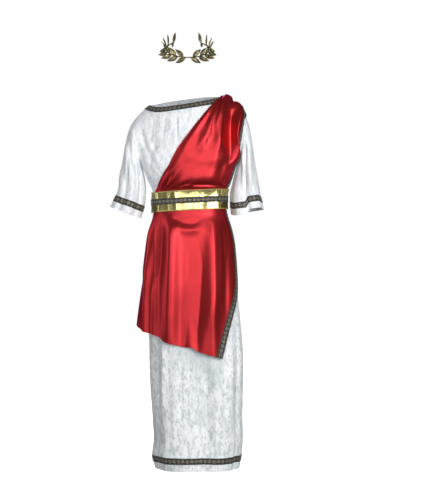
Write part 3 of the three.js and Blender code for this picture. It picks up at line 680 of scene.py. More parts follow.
class Strand:
    """One output of a material's node. Sums and products of strands add Math nodes."""

    def __init__(self, recipe, output):
        self.recipe, self.output = recipe, output

    def math(self, operation, first, second=0.0):
        return self.recipe.add("ShaderNodeMath", {0: first, 1: second}, operation=operation)

    def __add__(self, other):
        return self.math("ADD", self, other)

    __radd__ = __add__

    def __mul__(self, other):
        return self.math("MULTIPLY", self, other)

    __rmul__ = __mul__

    def __sub__(self, other):
        return self.math("SUBTRACT", self, other)

    def __rsub__(self, other):
        return self.math("SUBTRACT", other, self)

    def __truediv__(self, other):
        return self.math("DIVIDE", self, other)

    def __abs__(self):
        return self.math("ABSOLUTE", self)


class Recipe:
    """The nodes of a material or of the sky. One method adds every node."""

    def __init__(self, owner):
        self.owner = owner
        owner.use_nodes = True
        self.tree = owner.node_tree
        self.tree.nodes.clear()

    def add(self, kind, inputs=None, output=0, **settings):
        node = self.tree.nodes.new(kind)
        for key, value in settings.items():
            setattr(node, key, value)
        for key, value in (inputs or {}).items():
            if isinstance(value, Strand):
                self.tree.links.new(value.output, node.inputs[key])
            else:
                node.inputs[key].default_value = value
        return Strand(self, node.outputs[output]) if node.outputs else node

    def uv(self):
        return self.add("ShaderNodeUVMap")

    def place(self):
        """The place on the object, in metres."""
        return self.add("ShaderNodeTexCoord", output="Object")

    def parts(self, vector):
        return [self.add("ShaderNodeSeparateXYZ", {0: vector}, i) for i in range(3)]

    def noise(self, vector, scale=1.0, detail=2.0, roughness=0.5, distortion=0.0, output=0):
        values = {"Vector": vector, "Scale": scale, "Detail": detail, "Roughness": roughness}
        return self.add("ShaderNodeTexNoise", {**values, "Distortion": distortion}, output)

    def stretched(self, vector, scale, shift=(0, 0), **values):
        """A noise whose grain is longer one way. Scales and shifts are those along and across the cloth."""
        sizes = {"Vector": vector, "Location": (*shift, 0), "Scale": (*scale, 1)}
        return self.noise(self.add("ShaderNodeMapping", sizes), **values)

    def step(self, value, low, high):
        """0 below low and 1 above high, eased between them."""
        ends = {"Value": value, "From Min": low, "From Max": high}
        return self.add("ShaderNodeMapRange", ends, interpolation_type="SMOOTHSTEP")

    def most(self, first, second):
        return self.add("ShaderNodeMath", {0: first, 1: second}, operation="MAXIMUM")

    def sine(self, value):
        return self.add("ShaderNodeMath", {0: value}, operation="SINE")

    def waves(self, value, length):
        """A sine along a value, from -1 to 1, with a given length of wave."""
        return self.sine(value * (TURN / length))

    def fraction(self, value):
        return self.add("ShaderNodeMath", {0: value}, operation="FRACT")

    def root(self, value):
        return self.add("ShaderNodeMath", {0: value}, operation="SQRT")

    def blend(self, share, first, second, how="MIX"):
        """A colour between two colours, or another mixture of them."""
        inputs = {0: share, 6: first, 7: second}
        return self.add("ShaderNodeMix", inputs, 2, data_type="RGBA", blend_type=how)

    def warp(self, vector, scale, reach):
        """The vector moved about by a soft noise."""
        drift = self.noise(vector, scale=scale, output=1)
        centred = self.add("ShaderNodeVectorMath", {0: drift, 1: (0.5, 0.5, 0.5)}, operation="SUBTRACT")
        pushed = self.add("ShaderNodeVectorMath", {0: centred, "Scale": reach}, operation="SCALE")
        return self.add("ShaderNodeVectorMath", {0: vector, 1: pushed}, operation="ADD")

    def bump(self, height, strength, depth, below=None):
        inputs = {"Height": height, "Strength": strength, "Distance": depth}
        return self.add("ShaderNodeBump", {**inputs, "Normal": below} if below else inputs)

    def finish(self, **values):
        """The surface shader. Names are those of its sockets, with spaces as underscores."""
        inputs = {key.replace("_", " "): value for key, value in values.items()}
        self.add("ShaderNodeOutputMaterial", {"Surface": self.add("ShaderNodeBsdfPrincipled", inputs)})
        return self.owner


def made_once(make):
    """Keeps the first material that a recipe gives, so that like pieces share it. The recipe is handed its
    nodes and the costume's colours by name."""
    kept = {}

    def get():
        if "finish" not in kept:
            colours = bpy.context.scene.costume_colours
            chosen = {key: (*getattr(colours, key), 1.0) for key in CostumeColours.__annotations__}
            kept["finish"] = make(Recipe(bpy.data.materials.new(make.__name__)), SimpleNamespace(**chosen))
        return kept["finish"]

    return get


@made_once
def crushed_velvet(r, colours):
    """White velvet whose pile was pressed in all directions, in patches longer than they are wide. Its
    colour is painted darker on the lower skirt, towards the bottom and in broad patches, as painted shade."""
    flat = r.uv()
    cloth = r.warp(flat, 22.0, 0.016)
    patches = r.stretched(cloth, (78, 30), detail=3.0, roughness=0.62, distortion=0.9)
    flecks = r.stretched(cloth, (190, 85), (3.1, 1.7), roughness=0.6, distortion=0.6)
    streaks = r.stretched(cloth, (26, 5), (7.7, 2.2))
    pile = r.noise(flat, scale=1900.0, detail=1.0)
    lie = patches * 0.6 + flecks * 0.28 + streaks * 0.12
    # Painted shade: the lower skirt is painted darker towards the bottom.
    deep_below, pale_above = -0.95, -0.5
    skirt = 1 - r.step(r.parts(r.place())[2], deep_below, pale_above)
    # Broad patches of painted shade on the lower skirt, which thin the raised pile there.
    pressed = r.step(r.stretched(flat, (5, 2.4), (0.9, 0.4), roughness=0.6), 0.46, 0.62)
    nap = r.step(lie, 0.36, 0.57) * (1 - pressed * skirt * 0.55)
    cast = r.step(r.noise(flat, scale=7.0, detail=1.0), 0.4, 0.62)
    shade = r.blend(cast, colours.velvet_shade, colours.velvet_cast)
    # Painted shade deepens the velvet's darker colour towards the bottom of the skirt.
    shade = r.blend(skirt * 0.75, shade, colours.velvet_painted_shade)
    grain = r.blend(r.step(pile, 0.3, 0.7), (0.93, 0.94, 0.95, 1), (1, 1, 1, 1))
    return r.finish(
        Base_Color=r.blend(1.0, r.blend(nap, shade, colours.velvet), grain, "MULTIPLY"),
        Roughness=0.86 - nap * 0.34,
        Normal=r.bump(pile, 0.25, 0.0003, r.bump(lie, 0.4, 0.003)),
        Sheen_Weight=0.45, Sheen_Roughness=0.35, Sheen_Tint=(0.95, 0.97, 1.0, 1.0), Specular_IOR_Level=0.35,
    )


@made_once
def red_satin(r, colours):
    """Bright satin: long floats of thread that shine, with faint slubs across."""
    flat = r.uv()
    floats = r.stretched(flat, (2600, 260), detail=1.0)
    slubs = r.stretched(flat, (30, 420))
    soft = r.noise(r.warp(flat, 9.0, 0.04), scale=9.0, detail=1.0, roughness=0.4)
    relief = r.bump(soft, 0.35, 0.005)
    return r.finish(
        Base_Color=r.blend(r.step(soft, 0.3, 0.75) * 0.35, colours.satin, colours.satin_deep),
        Metallic=0.8, Roughness=0.37 + slubs * 0.06, IOR=1.9,
        Normal=r.bump(slubs * 0.5 + floats * 0.5, 0.1, 0.0002, relief),
        Specular_IOR_Level=0.7, Specular_Tint=colours.satin_gloss,
    )


@made_once
def scroll_braid(r, colours):
    """Woven trim with a running scroll in metal thread between two cords."""
    repeat, width, dash = 0.034, BRAID_WIDTH * MM, 0.0042
    thread_width, picks_across = 0.0011, 26
    flat = r.uv()
    along, across, _ = r.parts(flat)
    turns = along / repeat
    vine = abs(across - 0.5 - r.waves(turns, 1) * 0.17)

    def curl(place, level):
        """A small ring with a dot in it."""
        x = (r.fraction(turns - place + 0.5) - 0.5) * repeat
        y = (across - level) * width
        reach = r.root(x * x + y * y)
        ring_radius, dot_radius = 0.0038, 0.0018
        ring = 1 - r.step(abs(reach - ring_radius), 0.0006, 0.0013)
        return r.most(ring, 1 - r.step(reach, 0.0011, dot_radius))

    scroll = r.most(1 - r.step(vine, 0.025, 0.07), r.most(curl(0.25, 0.4), curl(0.75, 0.6)))
    edge = abs(abs(across - 0.5) - 0.42)
    cords = (1 - r.step(edge, 0.018, 0.04)) * r.step(r.waves(along, dash), -0.6, 0.1)
    worn = r.step(r.stretched(flat, (310, 7), detail=3.0), 0.42, 0.58)
    metal = r.most(scroll, cords * 0.6) * (worn * 0.8 + 0.2)
    threads = r.waves(along, thread_width) * 0.5 + 0.5
    picks = r.waves(across, 1 / picks_across) * 0.5 + 0.5
    weave = threads * 0.5 + picks * 0.5
    ground = r.blend(weave, colours.braid_shade, colours.braid)
    thread = r.blend(r.noise(flat, scale=160.0, detail=1.0), colours.thread_silver, colours.thread_gold)
    return r.finish(
        Base_Color=r.blend(metal, ground, thread), Metallic=metal * 0.65, Roughness=0.72 - metal * 0.32,
        Normal=r.bump(metal + weave * 0.25, 0.7, 0.0006), Sheen_Weight=0.15,
    )


@made_once
def gold_lame(r, colours):
    """Gold lame with a corded tan edge and a row of stitches inside each cord. Its gold is painted darker in
    streaks along its crinkles, as painted dark reflection.
    """
    twist_length, stitch_length, bend_length = 0.0032, 0.005, 0.088
    flat = r.uv()
    along, across, _ = r.parts(flat)
    rim = abs(across - 0.5) * 2
    cord = r.step(rim, 0.905, 0.93)
    twist = r.sine(along * (TURN / twist_length) + across * 60.0) * 0.5 + 0.5
    stitches = r.step(r.waves(along, stitch_length), -0.5, 0.0)
    seam = (1 - r.step(abs(rim - 0.875), 0.008, 0.02)) * stitches
    # The crinkle bumps the lame, and its streaks are also painted darker gold: painted dark reflection.
    crinkle_and_reflection = r.stretched(r.warp(flat, 30.0, 0.01), (70, 2.2), detail=3.0, roughness=0.6)
    sparkle = r.stretched(flat, (1500, 110), detail=1.0)
    # Painted dark reflection: darker gold streaks along the crinkles.
    gold = r.blend(r.step(crinkle_and_reflection, 0.35, 0.68) * 0.7, colours.lame, colours.lame_reflection_and_cord)
    gold = r.blend(seam * 0.7, gold, colours.lame_cord)
    edge = r.blend(twist, colours.lame_cord, colours.lame_reflection_and_cord)
    bends = r.stretched(flat, (17, 0.6), (2.3, 0), detail=0.0)
    long_waves = r.sine(along * (TURN / bend_length) + 0.6)
    relief = r.bump(bends * 0.6 + long_waves * 0.14, 1.0, 0.02)
    relief = r.bump(crinkle_and_reflection, 0.14, 0.004, relief)
    threads = sparkle * (1 - cord) * 0.4 + twist * cord * 3.0 - seam * 2.0
    return r.finish(
        Base_Color=r.blend(cord, gold, edge), Metallic=0.92 - cord * 0.6,
        Roughness=0.16 + sparkle * 0.08 + cord * 0.35, Normal=r.bump(threads, 0.3, 0.0004, relief),
    )


@made_once
def antique_gilt(r, colours):
    """Gilt over a dark ground, bright where leaves are rubbed, with a midrib and side veins."""
    along, across, _ = r.parts(r.uv())
    off = abs(across - 0.5) * 2
    veins = abs(r.fraction(along * 7.0 - off * 1.3) - 0.5)
    pressed = r.most(1 - r.step(off, 0.05, 0.16), (1 - r.step(veins, 0.03, 0.14)) * 0.6)
    place = r.place()
    hammered = r.noise(place, scale=420.0)
    bright = r.step(r.noise(place, scale=85.0, detail=3.0, roughness=0.6), 0.36, 0.62)
    colour = r.blend(bright, colours.gilt_shade, colours.gilt)
    return r.finish(
        Base_Color=r.blend(pressed * 0.55, colour, colours.gilt_shade),
        Metallic=0.5 + bright * 0.3, Roughness=0.5 - bright * 0.2,
        Normal=r.bump(hammered * 0.5 - pressed, 0.5, 0.0006), Coat_Weight=0.25, Coat_Roughness=0.2,
    )


@made_once
def pale_floor(r, colours):
    """Matt studio paint with a faint mottle, lit from within so that it meets the sky."""
    mottle = r.noise(r.place(), scale=3.0) * 0.3
    return r.finish(
        Base_Color=r.blend(mottle, colours.floor, (0.88, 0.88, 0.89, 1)), Roughness=0.9,
        Specular_IOR_Level=0.1, Emission_Color=(1, 1, 1, 1), Emission_Strength=FLOOR_GLOW,
    )


def thickness_property(name, description, thickness):
    return bpy.props.FloatProperty(
        name=name, description=description, default=thickness * MM, unit="LENGTH", precision=4,
    )


def colour_property(name, description, colour):
    return bpy.props.FloatVectorProperty(
        name=name, description=description, default=colour, size=3, min=0.0, max=1.0, subtype="COLOR",
    )


class CostumeSizes(bpy.types.PropertyGroup):
    """Sizes of the costume's cloth and trims."""

    velvet: thickness_property("Velvet", "Thickness of the robe's cloth", VELVET)
    satin: thickness_property("Satin", "Thickness of the drape's cloth", SATIN)
    braid: thickness_property("Braid", "Thickness of the woven braid", BRAID)
    belt: thickness_property("Belt", "Thickness of the belt", BELT_CLOTH)
    leaf: thickness_property("Leaf", "Thickness of a wreath leaf", LEAF_METAL)
    creases: bpy.props.FloatProperty(
        name="Creases", description="Depth of the small creases, as a share of the natural one",
        default=1.0, min=0.0, max=1.3, subtype="FACTOR",
    )


class CostumeColours(bpy.types.PropertyGroup):
    """Colours of the costume's finishes."""

    velvet: colour_property("Velvet", "Raised pile of the velvet", (0.95, 0.96, 0.97))
    velvet_shade: colour_property("Velvet shade", "Pressed pile of the velvet", (0.64, 0.72, 0.73))
    velvet_cast: colour_property("Velvet cast", "Pressed pile where it turns to lilac", (0.7, 0.72, 0.81))
    # Painted shade on the lower skirt, darker towards the bottom.
    velvet_painted_shade: colour_property("Velvet deep", "Pressed pile on the skirt", (0.47, 0.55, 0.55))
    satin: colour_property("Satin", "Red of the drape", (0.42, 0.024, 0.011))
    satin_deep: colour_property("Satin shade", "Deeper red of the drape", (0.33, 0.016, 0.009))
    satin_gloss: colour_property("Satin gloss", "Tint of the gloss on the satin", (1.0, 0.2, 0.8))
    braid: colour_property("Braid", "Ground of the braid", (0.026, 0.024, 0.022))
    braid_shade: colour_property("Braid shade", "Gaps between the braid's threads", (0.012, 0.01, 0.01))
    thread_silver: colour_property("Silver thread", "Pale metal thread of the braid", (0.52, 0.5, 0.45))
    thread_gold: colour_property("Gold thread", "Warm metal thread of the braid", (0.32, 0.26, 0.15))
    lame: colour_property("Lame", "Gold of the belt", (0.74, 0.66, 0.28))
    # Painted dark reflection in the belt's streaks, and the paler thread of its twisted cord.
    lame_reflection_and_cord: colour_property("Lame shade", "Duller gold of the belt", (0.46, 0.4, 0.13))
    lame_cord: colour_property("Belt cord", "Cord along the belt's edges", (0.42, 0.28, 0.1))
    gilt: colour_property("Gilt", "Rubbed gilt of the wreath", (0.5, 0.43, 0.2))
    gilt_shade: colour_property("Gilt shade", "Dark ground of the wreath", (0.075, 0.068, 0.03))
    floor: colour_property("Floor", "Pale floor", (0.9, 0.9, 0.9))


def off_belt(row):
    """1 away from the belt and 0 under it, where the cloth is held flat."""
    return ease((row - BELT_TOP - 11) / 24) + ease((BELT_BOTTOM - 15 - row) / 40)


def robe_surface(facing):
    """A panel of the robe with its folds and creases."""
    creases, folds = (ROBE_CREASES, FRONT_FOLDS) if facing > 0 else (BACK_CREASES, BACK_FOLDS)
    strength = bpy.context.scene.costume_sizes.creases

    def depth_at(across, row, p):
        free = off_belt(row) * ease((RIDGE - row) / 60) * ease((1 - np.abs(across)) / 0.05)
        low = ease((LOW_SKIRT - row) / 300)
        girth = across * PANEL_HALF_GIRTH
        soft = (0.7 + 1.1 * low) * ripple(girth, row, 62, 240, 0.9 * facing)
        small = 0.5 * ripple(girth + 0.12 * row, row, 23, 70, 1.7)
        drawn = crease_depth(creases, p)
        return fold_depth(folds, across, row) + strength * free * (drawn + soft + small)

    return moved(robe_panel(facing), depth_at)


def in_turn(*runs):
    """Evenly spaced numbers, run after run, each run given as its start, end and count."""
    first, *rest = [np.linspace(*run) for run in runs]
    return np.concatenate([first, *(run[1:] for run in rest)])


def robe_rows(count_low, count_high):
    band_top = HEM + HEM_BAND + BRAID_WIDTH
    return in_turn((HEM, band_top, 9), (band_top, CHEST, count_low), (CHEST, RIDGE, count_high))


class COSTUME_OT_robe(bpy.types.Operator):
    """Makes the front and the back of the velvet robe."""

    bl_idname = "costume.robe"
    bl_label = "Robe"

    def execute(self, context):
        sizes = context.scene.costume_sizes
        for name, facing, wide, rows in (
            ("robe_front", 1, ROBE_COLUMNS, robe_rows(170, 64)),
            ("robe_back", -1, 131, robe_rows(140, 52)),
        ):
            points = robe_surface(facing)(*np.meshgrid(np.linspace(-1, 1, wide), rows))
            piece = woven(f"velvet_{name}", points, cloth_uv(points), sizes.velvet / MM)
            dress(piece, name, crushed_velvet())
        return {"FINISHED"}


def sleeve_surface(name):
    """A sleeve from its armhole to its cuff. Around runs from 0 at the top by way of the front to 1 at the
    underarm and by way of the back to 2."""
    sleeve = SLEEVES[name]
    side, lift, hitch = sleeve["side"], sleeve["lift"], sleeve["hitch"]
    sideways = np.array([side * math.cos(lift), 0, math.sin(lift)])
    along = np.array([side * math.sin(lift), 0, -math.cos(lift)])
    strength = bpy.context.scene.costume_sizes.creases

    def pull(pulls, turn):
        top = np.maximum(0, np.cos(turn * np.pi))[..., None]
        under = np.maximum(0, -np.cos(turn * np.pi))[..., None]
        both = top * np.array(pulls[0]) + (1 - top - under) * np.array(pulls[1]) + under * np.array(pulls[2])
        return np.stack([side * both[..., 0], 0 * both[..., 0], both[..., 1]], axis=-1)

    def plain(around, row):
        turn = np.mod(around, 2)
        front = turn <= 1
        share = np.where(front, 1 - turn, turn - 1)
        start = np.where(
            front[..., None],
            figure(1, np.full_like(turn, side), yoke_height(share)),
            figure(-1, np.full_like(turn, -side), yoke_height(share)),
        )
        start[..., 0] += side * mix(-1.6, 2.6, ease(1 - np.abs(turn - 1) * 1.6))
        beyond = np.maximum(0, row - SLEEVE_SPAN)
        flare = 1 + CUFF_FLARE * beyond / (CUFF_BAND + BRAID_WIDTH)
        half_wide, half_deep = sleeve["half"]
        aside = half_wide * flare * np.cos(turn * np.pi)
        end = np.array(sleeve["cuff"], float) + sideways * aside[..., None]
        end[..., 1] -= half_deep * flare * np.sin(turn * np.pi)
        end[..., 2] += hitch * (1 - 2 * ease((turn - 0.44) / 0.1)) * ease(np.minimum(turn, 1 - turn) / 0.3)
        of_start, of_leaving, of_end, of_arriving = hermite(np.clip(row / SLEEVE_SPAN, 0, 1)[..., None])
        return (
            start * of_start
            + pull(sleeve["leaving"], turn) * of_leaving
            + end * of_end
            + pull(sleeve["arriving"], turn) * of_arriving
            + along * beyond[..., None]
        )

    def depth_at(around, row, p):
        turn = np.mod(around, 2)
        share = np.clip(row / SLEEVE_SPAN, 0, 1)
        folds = 0
        for place, lean, reach, depth in SLEEVE_FOLDS[name]:
            off = (turn - place - lean * (1 - share)) / reach
            folds = folds + depth * ease(share * 1.4) * np.exp(-(off**2))
        in_front = ease((-p[..., 1] - 4) / 20)
        drawn = crease_depth(SLEEVE_CREASES[name], p) * in_front
        behind = crease_depth(SLEEVE_CREASES[name], p, (7 * side, 20))
        drawn = drawn + 0.8 * behind * (1 - in_front)
        girth, length = turn * SLEEVE_HALF_GIRTH, row * SLEEVE_ROW_LENGTH
        soft = 1.1 * ripple(girth, length, 38, 160, 0.4 + side) + 0.4 * ripple(girth, length, 19, 60, 1.2)
        tucked = 1.7 * (1 - ease(row / 5)) * ease((np.abs(turn - 1) - 0.3) / 0.2)
        return side * (folds + strength * ease(row / 14) * (drawn + soft) - tucked)

    return moved(plain, depth_at)


def sleeve_points(surface, side, rows):
    """A grid on a sleeve. Columns on the right run the other way, so that it faces outwards."""
    return surface(*np.meshgrid(np.linspace(0, 2, SLEEVE_COLUMNS)[::side], rows))


class COSTUME_OT_sleeves(bpy.types.Operator):
    """Makes the two wide sleeves."""

    bl_idname = "costume.sleeves"
    bl_label = "Sleeves"

    def execute(self, context):
        sizes = context.scene.costume_sizes
        start, end = SLEEVE_SPAN, SLEEVE_SPAN + BRAID_WIDTH
        rows = in_turn((0, start, 76), (start, end, 7), (end, end + CUFF_BAND, 8))
        for name, sleeve in SLEEVES.items():
            points = sleeve_points(sleeve_surface(name), sleeve["side"], rows)
            points[:, -1] = points[:, 0]
            piece = woven(f"velvet_sleeve_{name}", points, cloth_uv(points), sizes.velvet / MM, ring=True)
            dress(piece, f"sleeve_{name}", crushed_velvet())
        return {"FINISHED"}


def shoulder_folds(facing):
    """The drape's folds as they run on one panel, mirrored at the shoulder ridge."""
    rows = []
    for folds, low in ((DRAPE_FOLDS, FOLD_FOOT), (SHOULDER_FOLDS, PLEAT_FOOT)):
        for front, shoulder, back, reach, depth in folds:
            place = front if facing > 0 else back
            rows.append((place, 2 * (shoulder - place), reach, low, 2 * RIDGE - low, depth))
    return rows


def drape_surface(facing):
    """The drape on one panel. Place is 0 at its inner edge, 1 at its braid and 2 at its outer edge."""
    rows, creases = (DRAPE_FRONT, DRAPE_CREASES) if facing > 0 else (DRAPE_BACK, DRAPE_BACK_CREASES)
    folds, panel = shoulder_folds(facing), robe_panel(facing)
    strength = bpy.context.scene.costume_sizes.creases

    def surface(place, row):
        place, row = both_wide(place, row)

        def at(name):
            return read_column(rows, "row", name, np.minimum(row, RIDGE))

        inside = np.minimum(1, place)
        braid = at("outer") - facing * at("band")
        across = by_way_of(place, at("inner"), braid, at("outer"))
        body = mix(at("atInner"), at("proud"), ease(inside / 0.12))
        level = mix(body, at("atBraid"), ease((inside - 0.55) / 0.45))
        proud = np.where(place > 1, mix(at("atBraid"), at("atOuter"), ease(place - 1)), level)

        def depth_at(a, b, p):
            drawn = crease_depth(creases, p)
            soft = 0.5 * ripple(p[..., 0] + 0.4 * p[..., 2], p[..., 2], 70, 130, facing)
            free = ease((row - BELT_TOP - 7) / 16) * ease((RIDGE + 8 - row) / 40)
            free = free * ease(np.minimum(place, 2 - place) / 0.1)
            deep = proud + fold_depth(folds, place, row) + strength * free * (drawn + soft)
            return held_off(deep, CLOSEST, 0.25)

        p = moved(panel, depth_at)(across, row)
        p[..., 1] -= facing * SEAM_GAP / 2
        return p

    return surface


def relaxed(points, share, turns, axes=(0, 1)):
    """A grid of points evened out, by as much as each point's share says. The ends of its rows or columns
    stay in place."""
    for _ in range(turns):
        for axis in axes:
            p = np.moveaxis(points, axis, 0)
            even = p.copy()
            even[1:-1] = (p[:-2] + 2 * p[1:-1] + p[2:]) / 4
            points = mix(points, np.moveaxis(even, 0, axis), share[..., None])
    return points


def drape_points(facing, places, rows):
    """A grid on the drape, evened out near the shoulder and along the chest. Columns on the back run the
    other way, so that it faces outwards."""
    across, along = np.meshgrid(places if facing > 0 else places[::-1], rows)
    near_shoulder = ease((along + 90) / 60)
    near_chest = ease(1.6 - np.abs(along - CHEST) / 45)
    points = relaxed(drape_surface(facing)(across, along), near_shoulder, turns=10)
    return relaxed(points, near_chest, turns=140, axes=(0,))


class COSTUME_OT_drape(bpy.types.Operator):
    """Makes the satin drape over the left shoulder, front and back."""

    bl_idname = "costume.drape"
    bl_label = "Drape"

    def execute(self, context):
        sizes = context.scene.costume_sizes
        for name, facing, wide, high in (("drape_front", 1, 120, 168), ("drape_back", -1, 84, 120)):
            places = in_turn((0, 1, wide), (1, 2, 13))
            points = drape_points(facing, places, np.linspace(DRAPE_BOTTOM, RIDGE, high))
            piece = woven(f"satin_{name}", points, cloth_uv(points), sizes.satin / MM)
            dress(piece, name, red_satin())
        return {"FINISHED"}


def apron_surface(place, fall):
    """The apron. Place is 0 at the right edge, 1 at the braid and 2 at the left edge, and fall is 0 at the
    waist and 1 at the hem."""
    place, fall = both_wide(place, fall)
    strength = bpy.context.scene.costume_sizes.creases

    def at(name):
        return read_column(APRON, "fall", name, fall)

    inside = np.minimum(1, place)
    braid = at("left") - at("band")
    across = by_way_of(place, at("right"), braid, at("left"))
    right, left = APRON["right"][-1], APRON["left"][-1]
    hem = mix(APRON_HEM["right"], APRON_HEM["left"], (across - right) / (left - right))
    height = mix(WAIST - SEAM_GAP / 2, hem, fall)
    body = mix(at("offRight"), at("offMiddle"), 1 - (1 - inside) ** 3)
    off = mix(body, at("offLeft"), inside**3) + fold_depth(APRON_FOLDS, place, fall)
    p = figure(1, across, height, off)
    free = ease((fall - 0.085) / 0.05)
    drawn = crease_depth(APRON_CREASES, p)
    soft = ripple(p[..., 0] + 0.12 * p[..., 2], p[..., 2], 96, 240, 0.6)
    lowest = CLOSEST + 4 * ease((fall - 0.1) / 0.2)
    p = figure(1, across, height, held_off(off + strength * free * (drawn + soft), lowest, 0.1))
    p[..., 1] -= SEAM_GAP / 2
    x = p[..., 0]
    for lift_at, lift in HEM_LIFTS:
        slow_side, steep_side = ease((x - lift_at + 52) / 46), ease((lift_at + 9 - x) / 13)
        p[..., 2] += strength * lift * fall**6 * slow_side * steep_side
    return p


class COSTUME_OT_apron(bpy.types.Operator):
    """Makes the satin apron that hangs from under the belt."""

    bl_idname = "costume.apron"
    bl_label = "Apron"

    def execute(self, context):
        sizes = context.scene.costume_sizes
        points = apron_surface(*np.meshgrid(in_turn((0, 1, 134), (1, 2, 13)), np.linspace(1, 0, 158)))
        piece = woven("satin_apron", points, cloth_uv(points), sizes.satin / MM)
        dress(piece, "drape_apron", red_satin())
        return {"FINISHED"}


def edge_swell(rows, height, place, reach):
    """How far a strip stands up near both of its edges."""
    edge = np.abs(np.linspace(-1, 1, rows))
    return height * np.exp(-(((edge - place) / reach) ** 2))


def braid_cords():
    return edge_swell(BRAID_COLUMNS, TRIM_CORD, 0.86, 0.1)


def neck_points(count, across):
    """Points on the robe under the neck braid, found from straight above it."""
    panels = [bpy.data.objects["velvet_robe_front"], bpy.data.objects["velvet_robe_back"]]
    rings = []
    for share in across:
        ring = []
        for i, angle in enumerate(np.linspace(0, TURN, count)):
            side = "front" if math.cos(angle) > 0 else "back"
            x = math.sin(angle) * mix(NECK["halfWidth"], NECK_BRAID_OUTER["halfWidth"], share)
            y = -math.cos(angle) * mix(NECK[side], NECK_BRAID_OUTER[side], share)
            start = Vector((x * MM, math.copysign(max(abs(y), OFF_SEAM), y) * MM, OVER_NECK * MM))
            found = [panel.ray_cast(start, -UP) for panel in panels]
            heights = [place.z / MM for hit, place, _, _ in found if hit and place.z > UNDER_NECK * MM]
            ring.append((x, y, max(heights) if heights else rings[-1][i][2]))
        rings.append(ring)
    return np.array(rings)


def even_width(points, width):
    """A band whose outer edge, its first row, is drawn in wherever it is wider than it was woven."""
    steps = np.linalg.norm(np.diff(points, axis=0), axis=2)
    reach = np.concatenate([np.zeros((1, steps.shape[1])), np.cumsum(steps[::-1], axis=0)])
    even = points.copy()
    for column, places in enumerate(reach.T):
        wanted = np.linspace(0, min(width, places[-1]), len(places))
        for axis in range(3):
            even[::-1, column, axis] = np.interp(wanted, places, points[::-1, column, axis])
    return even


def smoothed_ring(points):
    """Heights round a ring, evened out a little along it."""
    z = points[:, :-1, 2]
    for _ in range(3):
        z = (np.roll(z, 1, axis=1) + 2 * z + np.roll(z, -1, axis=1)) / 4
    points[:, :-1, 2] = z
    points[:, -1] = points[:, 0]
    return points


class COSTUME_OT_braids(bpy.types.Operator):
    """Makes the woven braid at the neck, hem, cuffs, drape and apron."""

    bl_idname = "costume.braids"
    bl_label = "Braids"

    def execute(self, context):
        sizes = context.scene.costume_sizes
        on_velvet = (sizes.velvet + sizes.braid) / 2 / MM + TRIM_GAP
        on_satin = (sizes.satin + sizes.braid) / 2 / MM + TRIM_GAP

        def add(name, points, ring=False):
            points = raised(points, braid_cords())
            if ring:
                points[:, -1] = points[:, 0]
            piece = woven(f"trim_{name}", points, cloth_uv(points, strip=True), sizes.braid / MM, ring=ring)
            dress(piece, name, scroll_braid())

        def add_down(name, points):
            """A braid down an edge, from a grid whose rows run across it."""
            add(name, raised(points, on_satin).transpose(1, 0, 2)[:, ::-1])

        band = np.linspace(HEM + HEM_BAND, HEM + HEM_BAND + BRAID_WIDTH, BRAID_COLUMNS)
        for name, facing in (("hem_braid_front", 1), ("hem_braid_back", -1)):
            surface = lifted(robe_surface(facing), on_velvet)
            add(name, surface(*np.meshgrid(np.linspace(-1, 1, ROBE_COLUMNS), band)))
        cuff = np.linspace(SLEEVE_SPAN, SLEEVE_SPAN + BRAID_WIDTH, BRAID_COLUMNS)
        for name, sleeve in SLEEVES.items():
            side = sleeve["side"]
            points = sleeve_points(lifted(sleeve_surface(name), side * on_velvet), side, cuff)
            add(f"sleeve_braid_{name}", points, ring=True)
        edge = np.linspace(1, 2, BRAID_COLUMNS)
        for name, facing in (("drape_braid_front", 1), ("drape_braid_back", -1)):
            add_down(name, drape_points(facing, edge, np.linspace(DRAPE_BRAID_FOOT, RIDGE, 150)))
        add_down("apron_braid", apron_surface(*np.meshgrid(edge, np.linspace(1, APRON_BRAID_TOP, 150))))
        points = neck_points(NECK_COLUMNS, np.linspace(1, NECK_BRAID_INNER, BRAID_COLUMNS))
        points = even_width(smoothed_ring(points), NECK_BRAID_WIDTH)
        add("neck_braid", raised(points, on_velvet + NECK_BRAID_SLACK, ring=True), ring=True)
        return {"FINISHED"}


def belt_surface(turn, height):
    """The belt, from the middle of the back round by the right side, the front and the left side."""
    turn, height = both_wide(turn, height)
    behind = (turn < 1) | (turn > 3)
    across = np.where(turn < 1, turn, np.where(turn > 3, turn - 4, turn - 2))
    off = BELT_OFF + OVERLAP_RISE * ease((turn - 3.5) / 0.5)
    soft = 0.5 * np.sin(turn * 13.5 + 0.4) + 0.35 * np.sin(turn * 22 + 1.3)

    def at(tilt_height):
        front = figure(1, across, tilt_height, off + soft)
        return np.where(behind[..., None], figure(-1, across, tilt_height, off + soft), front)

    return at(height + BELT_TILT * (at(height)[..., 0] - SECTIONS["middle"][-1]))


class COSTUME_OT_belt(bpy.types.Operator):
    """Makes the gold belt and the braid along its middle."""

    bl_idname = "costume.belt"
    bl_label = "Belt"

    def execute(self, context):
        sizes = context.scene.costume_sizes
        levels = np.linspace(BELT_BOTTOM, BELT_TOP, BELT_ROWS)
        points = belt_surface(*np.meshgrid(np.linspace(0, BELT_END, 300), levels))
        points = raised(points, edge_swell(BELT_ROWS, 0.5, 0.96, 0.05))
        piece = woven("lame_belt", points, cloth_uv(points, strip=True), sizes.belt / MM)
        dress(piece, "belt_band", gold_lame())
        half = BELT_BRAID_WIDTH / 2
        levels = np.linspace(WAIST - half, WAIST + half, BRAID_COLUMNS)
        points = belt_surface(*np.meshgrid(np.linspace(BELT_END - 4, BELT_END, 280), levels))
        points = raised(points, (sizes.belt + sizes.braid) / 2 / MM + TRIM_GAP + braid_cords())
        piece = woven("trim_belt_braid", points, cloth_uv(points, strip=True), sizes.braid / MM)
        dress(piece, "belt_braid", scroll_braid())
        return {"FINISHED"}


